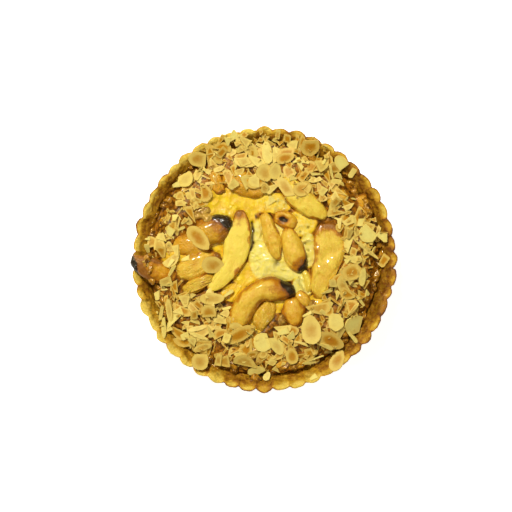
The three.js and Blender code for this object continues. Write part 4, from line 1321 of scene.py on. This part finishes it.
class TART_OT_custard(bpy.types.Operator):
    """Build the custard round the apple pieces"""

    bl_idname = "tart.custard"
    bl_label = "Custard"

    def execute(self, context):
        scene = context.scene
        apples = solid_tree(["baked_" + name for name in APPLES])
        mesh = custard_mesh(scene.tart_sizes, apples)
        place_piece("set_custard", mesh, custard_finish(scene.tart_colours), ["custard"])
        return {"FINISHED"}


class TART_OT_almonds(bpy.types.Operator):
    """Lay the jelly, the glaze, the broken almonds, the whole slices and the crumbs"""

    bl_idname = "tart.almonds"
    bl_label = "Flaked Almonds"

    def execute(self, context):
        sizes = context.scene.tart_sizes
        names = list(APPLES) + ["custard", "crust"]
        pieces = ["baked_" + name for name in APPLES] + ["set_custard", "fluted_crust"]
        ground = Ground(*solid_tree(pieces))
        for name, lumps, shape, dark, light in (
            ("apple_jelly", JELLY, JELLY_SHAPE, tone(140, 100, 34), tone(206, 164, 66)),
            ("amber_glaze", glaze_lumps(sizes), GLAZE_SHAPE, tone(98, 58, 10), tone(196, 138, 30)),
        ):
            mesh = lumps_mesh(name + "_piece", lumps, ground, *shape)
            place_piece(name, mesh, glaze_finish(name, dark, light))
        material = almond_finish(context.scene.tart_colours)
        for name, parts in (
            ("scattered_almonds", scattered_parts(sizes, ground, names)),
            ("large_almonds", large_parts(ground)),
            ("almond_crumbs", crumb_parts(sizes, ground)),
        ):
            place_piece(name, joined_mesh(name, parts), material, smooth=False)
        return {"FINISHED"}


class TART_OT_stage(bpy.types.Operator):
    """Set the pale floor, the soft lights and the camera"""

    bl_idname = "tart.stage"
    bl_label = "Floor, Lights and Camera"

    def execute(self, context):
        scene = context.scene
        scene.view_settings.view_transform = "Standard"
        build_floor()
        build_lights(scene)
        build_camera(scene, scene.tart_sizes.camera_height)
        return {"FINISHED"}


def build_floor():
    bm = bmesh.new()
    bmesh.ops.create_grid(bm, x_segments=1, y_segments=1, size=3)
    mesh = finished_mesh(bm, "floor")
    paint = Paint("white_floor")
    mesh.materials.append(paint.finish(
        Base_Color=(0.9, 0.9, 0.9, 1), Roughness=0.9, Specular_IOR_Level=0.0,
        Emission_Color=(1, 1, 1, 1), Emission_Strength=0.8))
    floor = bpy.data.objects.new("floor", mesh)
    bpy.context.scene.collection.objects.link(floor)


# Each light: its name, place, size and power in watts, and its colour.
LIGHTS = (
    ("key", (-0.3, 0.6, 1.05), 0.12, 13.2, (1, 0.97, 0.9)),
    ("overhead", (0.1, 0.1, 1.5), 1.0, 2.4, (1, 0.97, 0.9)),
    ("left window", (-0.9, -0.35, 0.7), 0.1, 1.7, (1, 0.98, 0.94)),
    ("right window", (0.8, -0.6, 0.8), 0.1, 1.2, (1, 0.98, 0.94)),
)


def add_light(scene, name, place, size, power, colour):
    """A square soft light, aimed at the tart."""
    light = bpy.data.lights.new(name, "AREA")
    light.size = size
    light.energy = power
    light.color = colour
    lamp = bpy.data.objects.new(name, light)
    lamp.location = place
    lamp.rotation_euler = (-Vector(place)).to_track_quat("-Z", "Y").to_euler()
    scene.collection.objects.link(lamp)


def build_lights(scene):
    for light in LIGHTS:
        add_light(scene, *light)
    world = bpy.data.worlds.new("studio")
    world.use_nodes = True
    background = world.node_tree.nodes["Background"]
    background.inputs["Color"].default_value = (1, 0.88, 0.66, 1)
    background.inputs["Strength"].default_value = 0.12
    scene.world = world


# The tart isn't quite in the middle of the picture.
CAMERA_SHIFT = (-6.3 * MM, 2.7 * MM)


def build_camera(scene, height):
    camera = bpy.data.cameras.new("camera")
    camera.lens = 70
    camera.sensor_width = 36
    camera.clip_start = 0.01
    body = bpy.data.objects.new("camera", camera)
    body.location = (*CAMERA_SHIFT, CRUST_HEIGHT * MM + height)
    scene.collection.objects.link(body)
    scene.camera = body


class TART_PT_panel(bpy.types.Panel):
    """The tart's pieces, sizes and colours in the sidebar"""

    bl_label = "Apple Tart"
    bl_idname = "TART_PT_panel"
    bl_space_type = "VIEW_3D"
    bl_region_type = "UI"
    bl_category = "Tart"

    def draw(self, context):
        for operator in OPERATORS:
            self.layout.operator(operator.bl_idname)
        for group in (context.scene.tart_sizes, context.scene.tart_colours):
            box = self.layout.box()
            for name in type(group).__annotations__:
                box.prop(group, name)


OPERATORS = (TART_OT_crust, TART_OT_apples, TART_OT_custard, TART_OT_almonds, TART_OT_stage)
CLASSES = (TartSizes, TartColours, *OPERATORS, TART_PT_panel)


def register():
    for cls in CLASSES:
        bpy.utils.register_class(cls)
    bpy.types.Scene.tart_sizes = bpy.props.PointerProperty(type=TartSizes)
    bpy.types.Scene.tart_colours = bpy.props.PointerProperty(type=TartColours)


def unregister():
    del bpy.types.Scene.tart_colours
    del bpy.types.Scene.tart_sizes
    for cls in reversed(CLASSES):
        bpy.utils.unregister_class(cls)


def main():
    register()
    for operator in OPERATORS:
        group, name = operator.bl_idname.split(".")
        getattr(getattr(bpy.ops, group), name)()


if __name__ == "__main__":
    main()
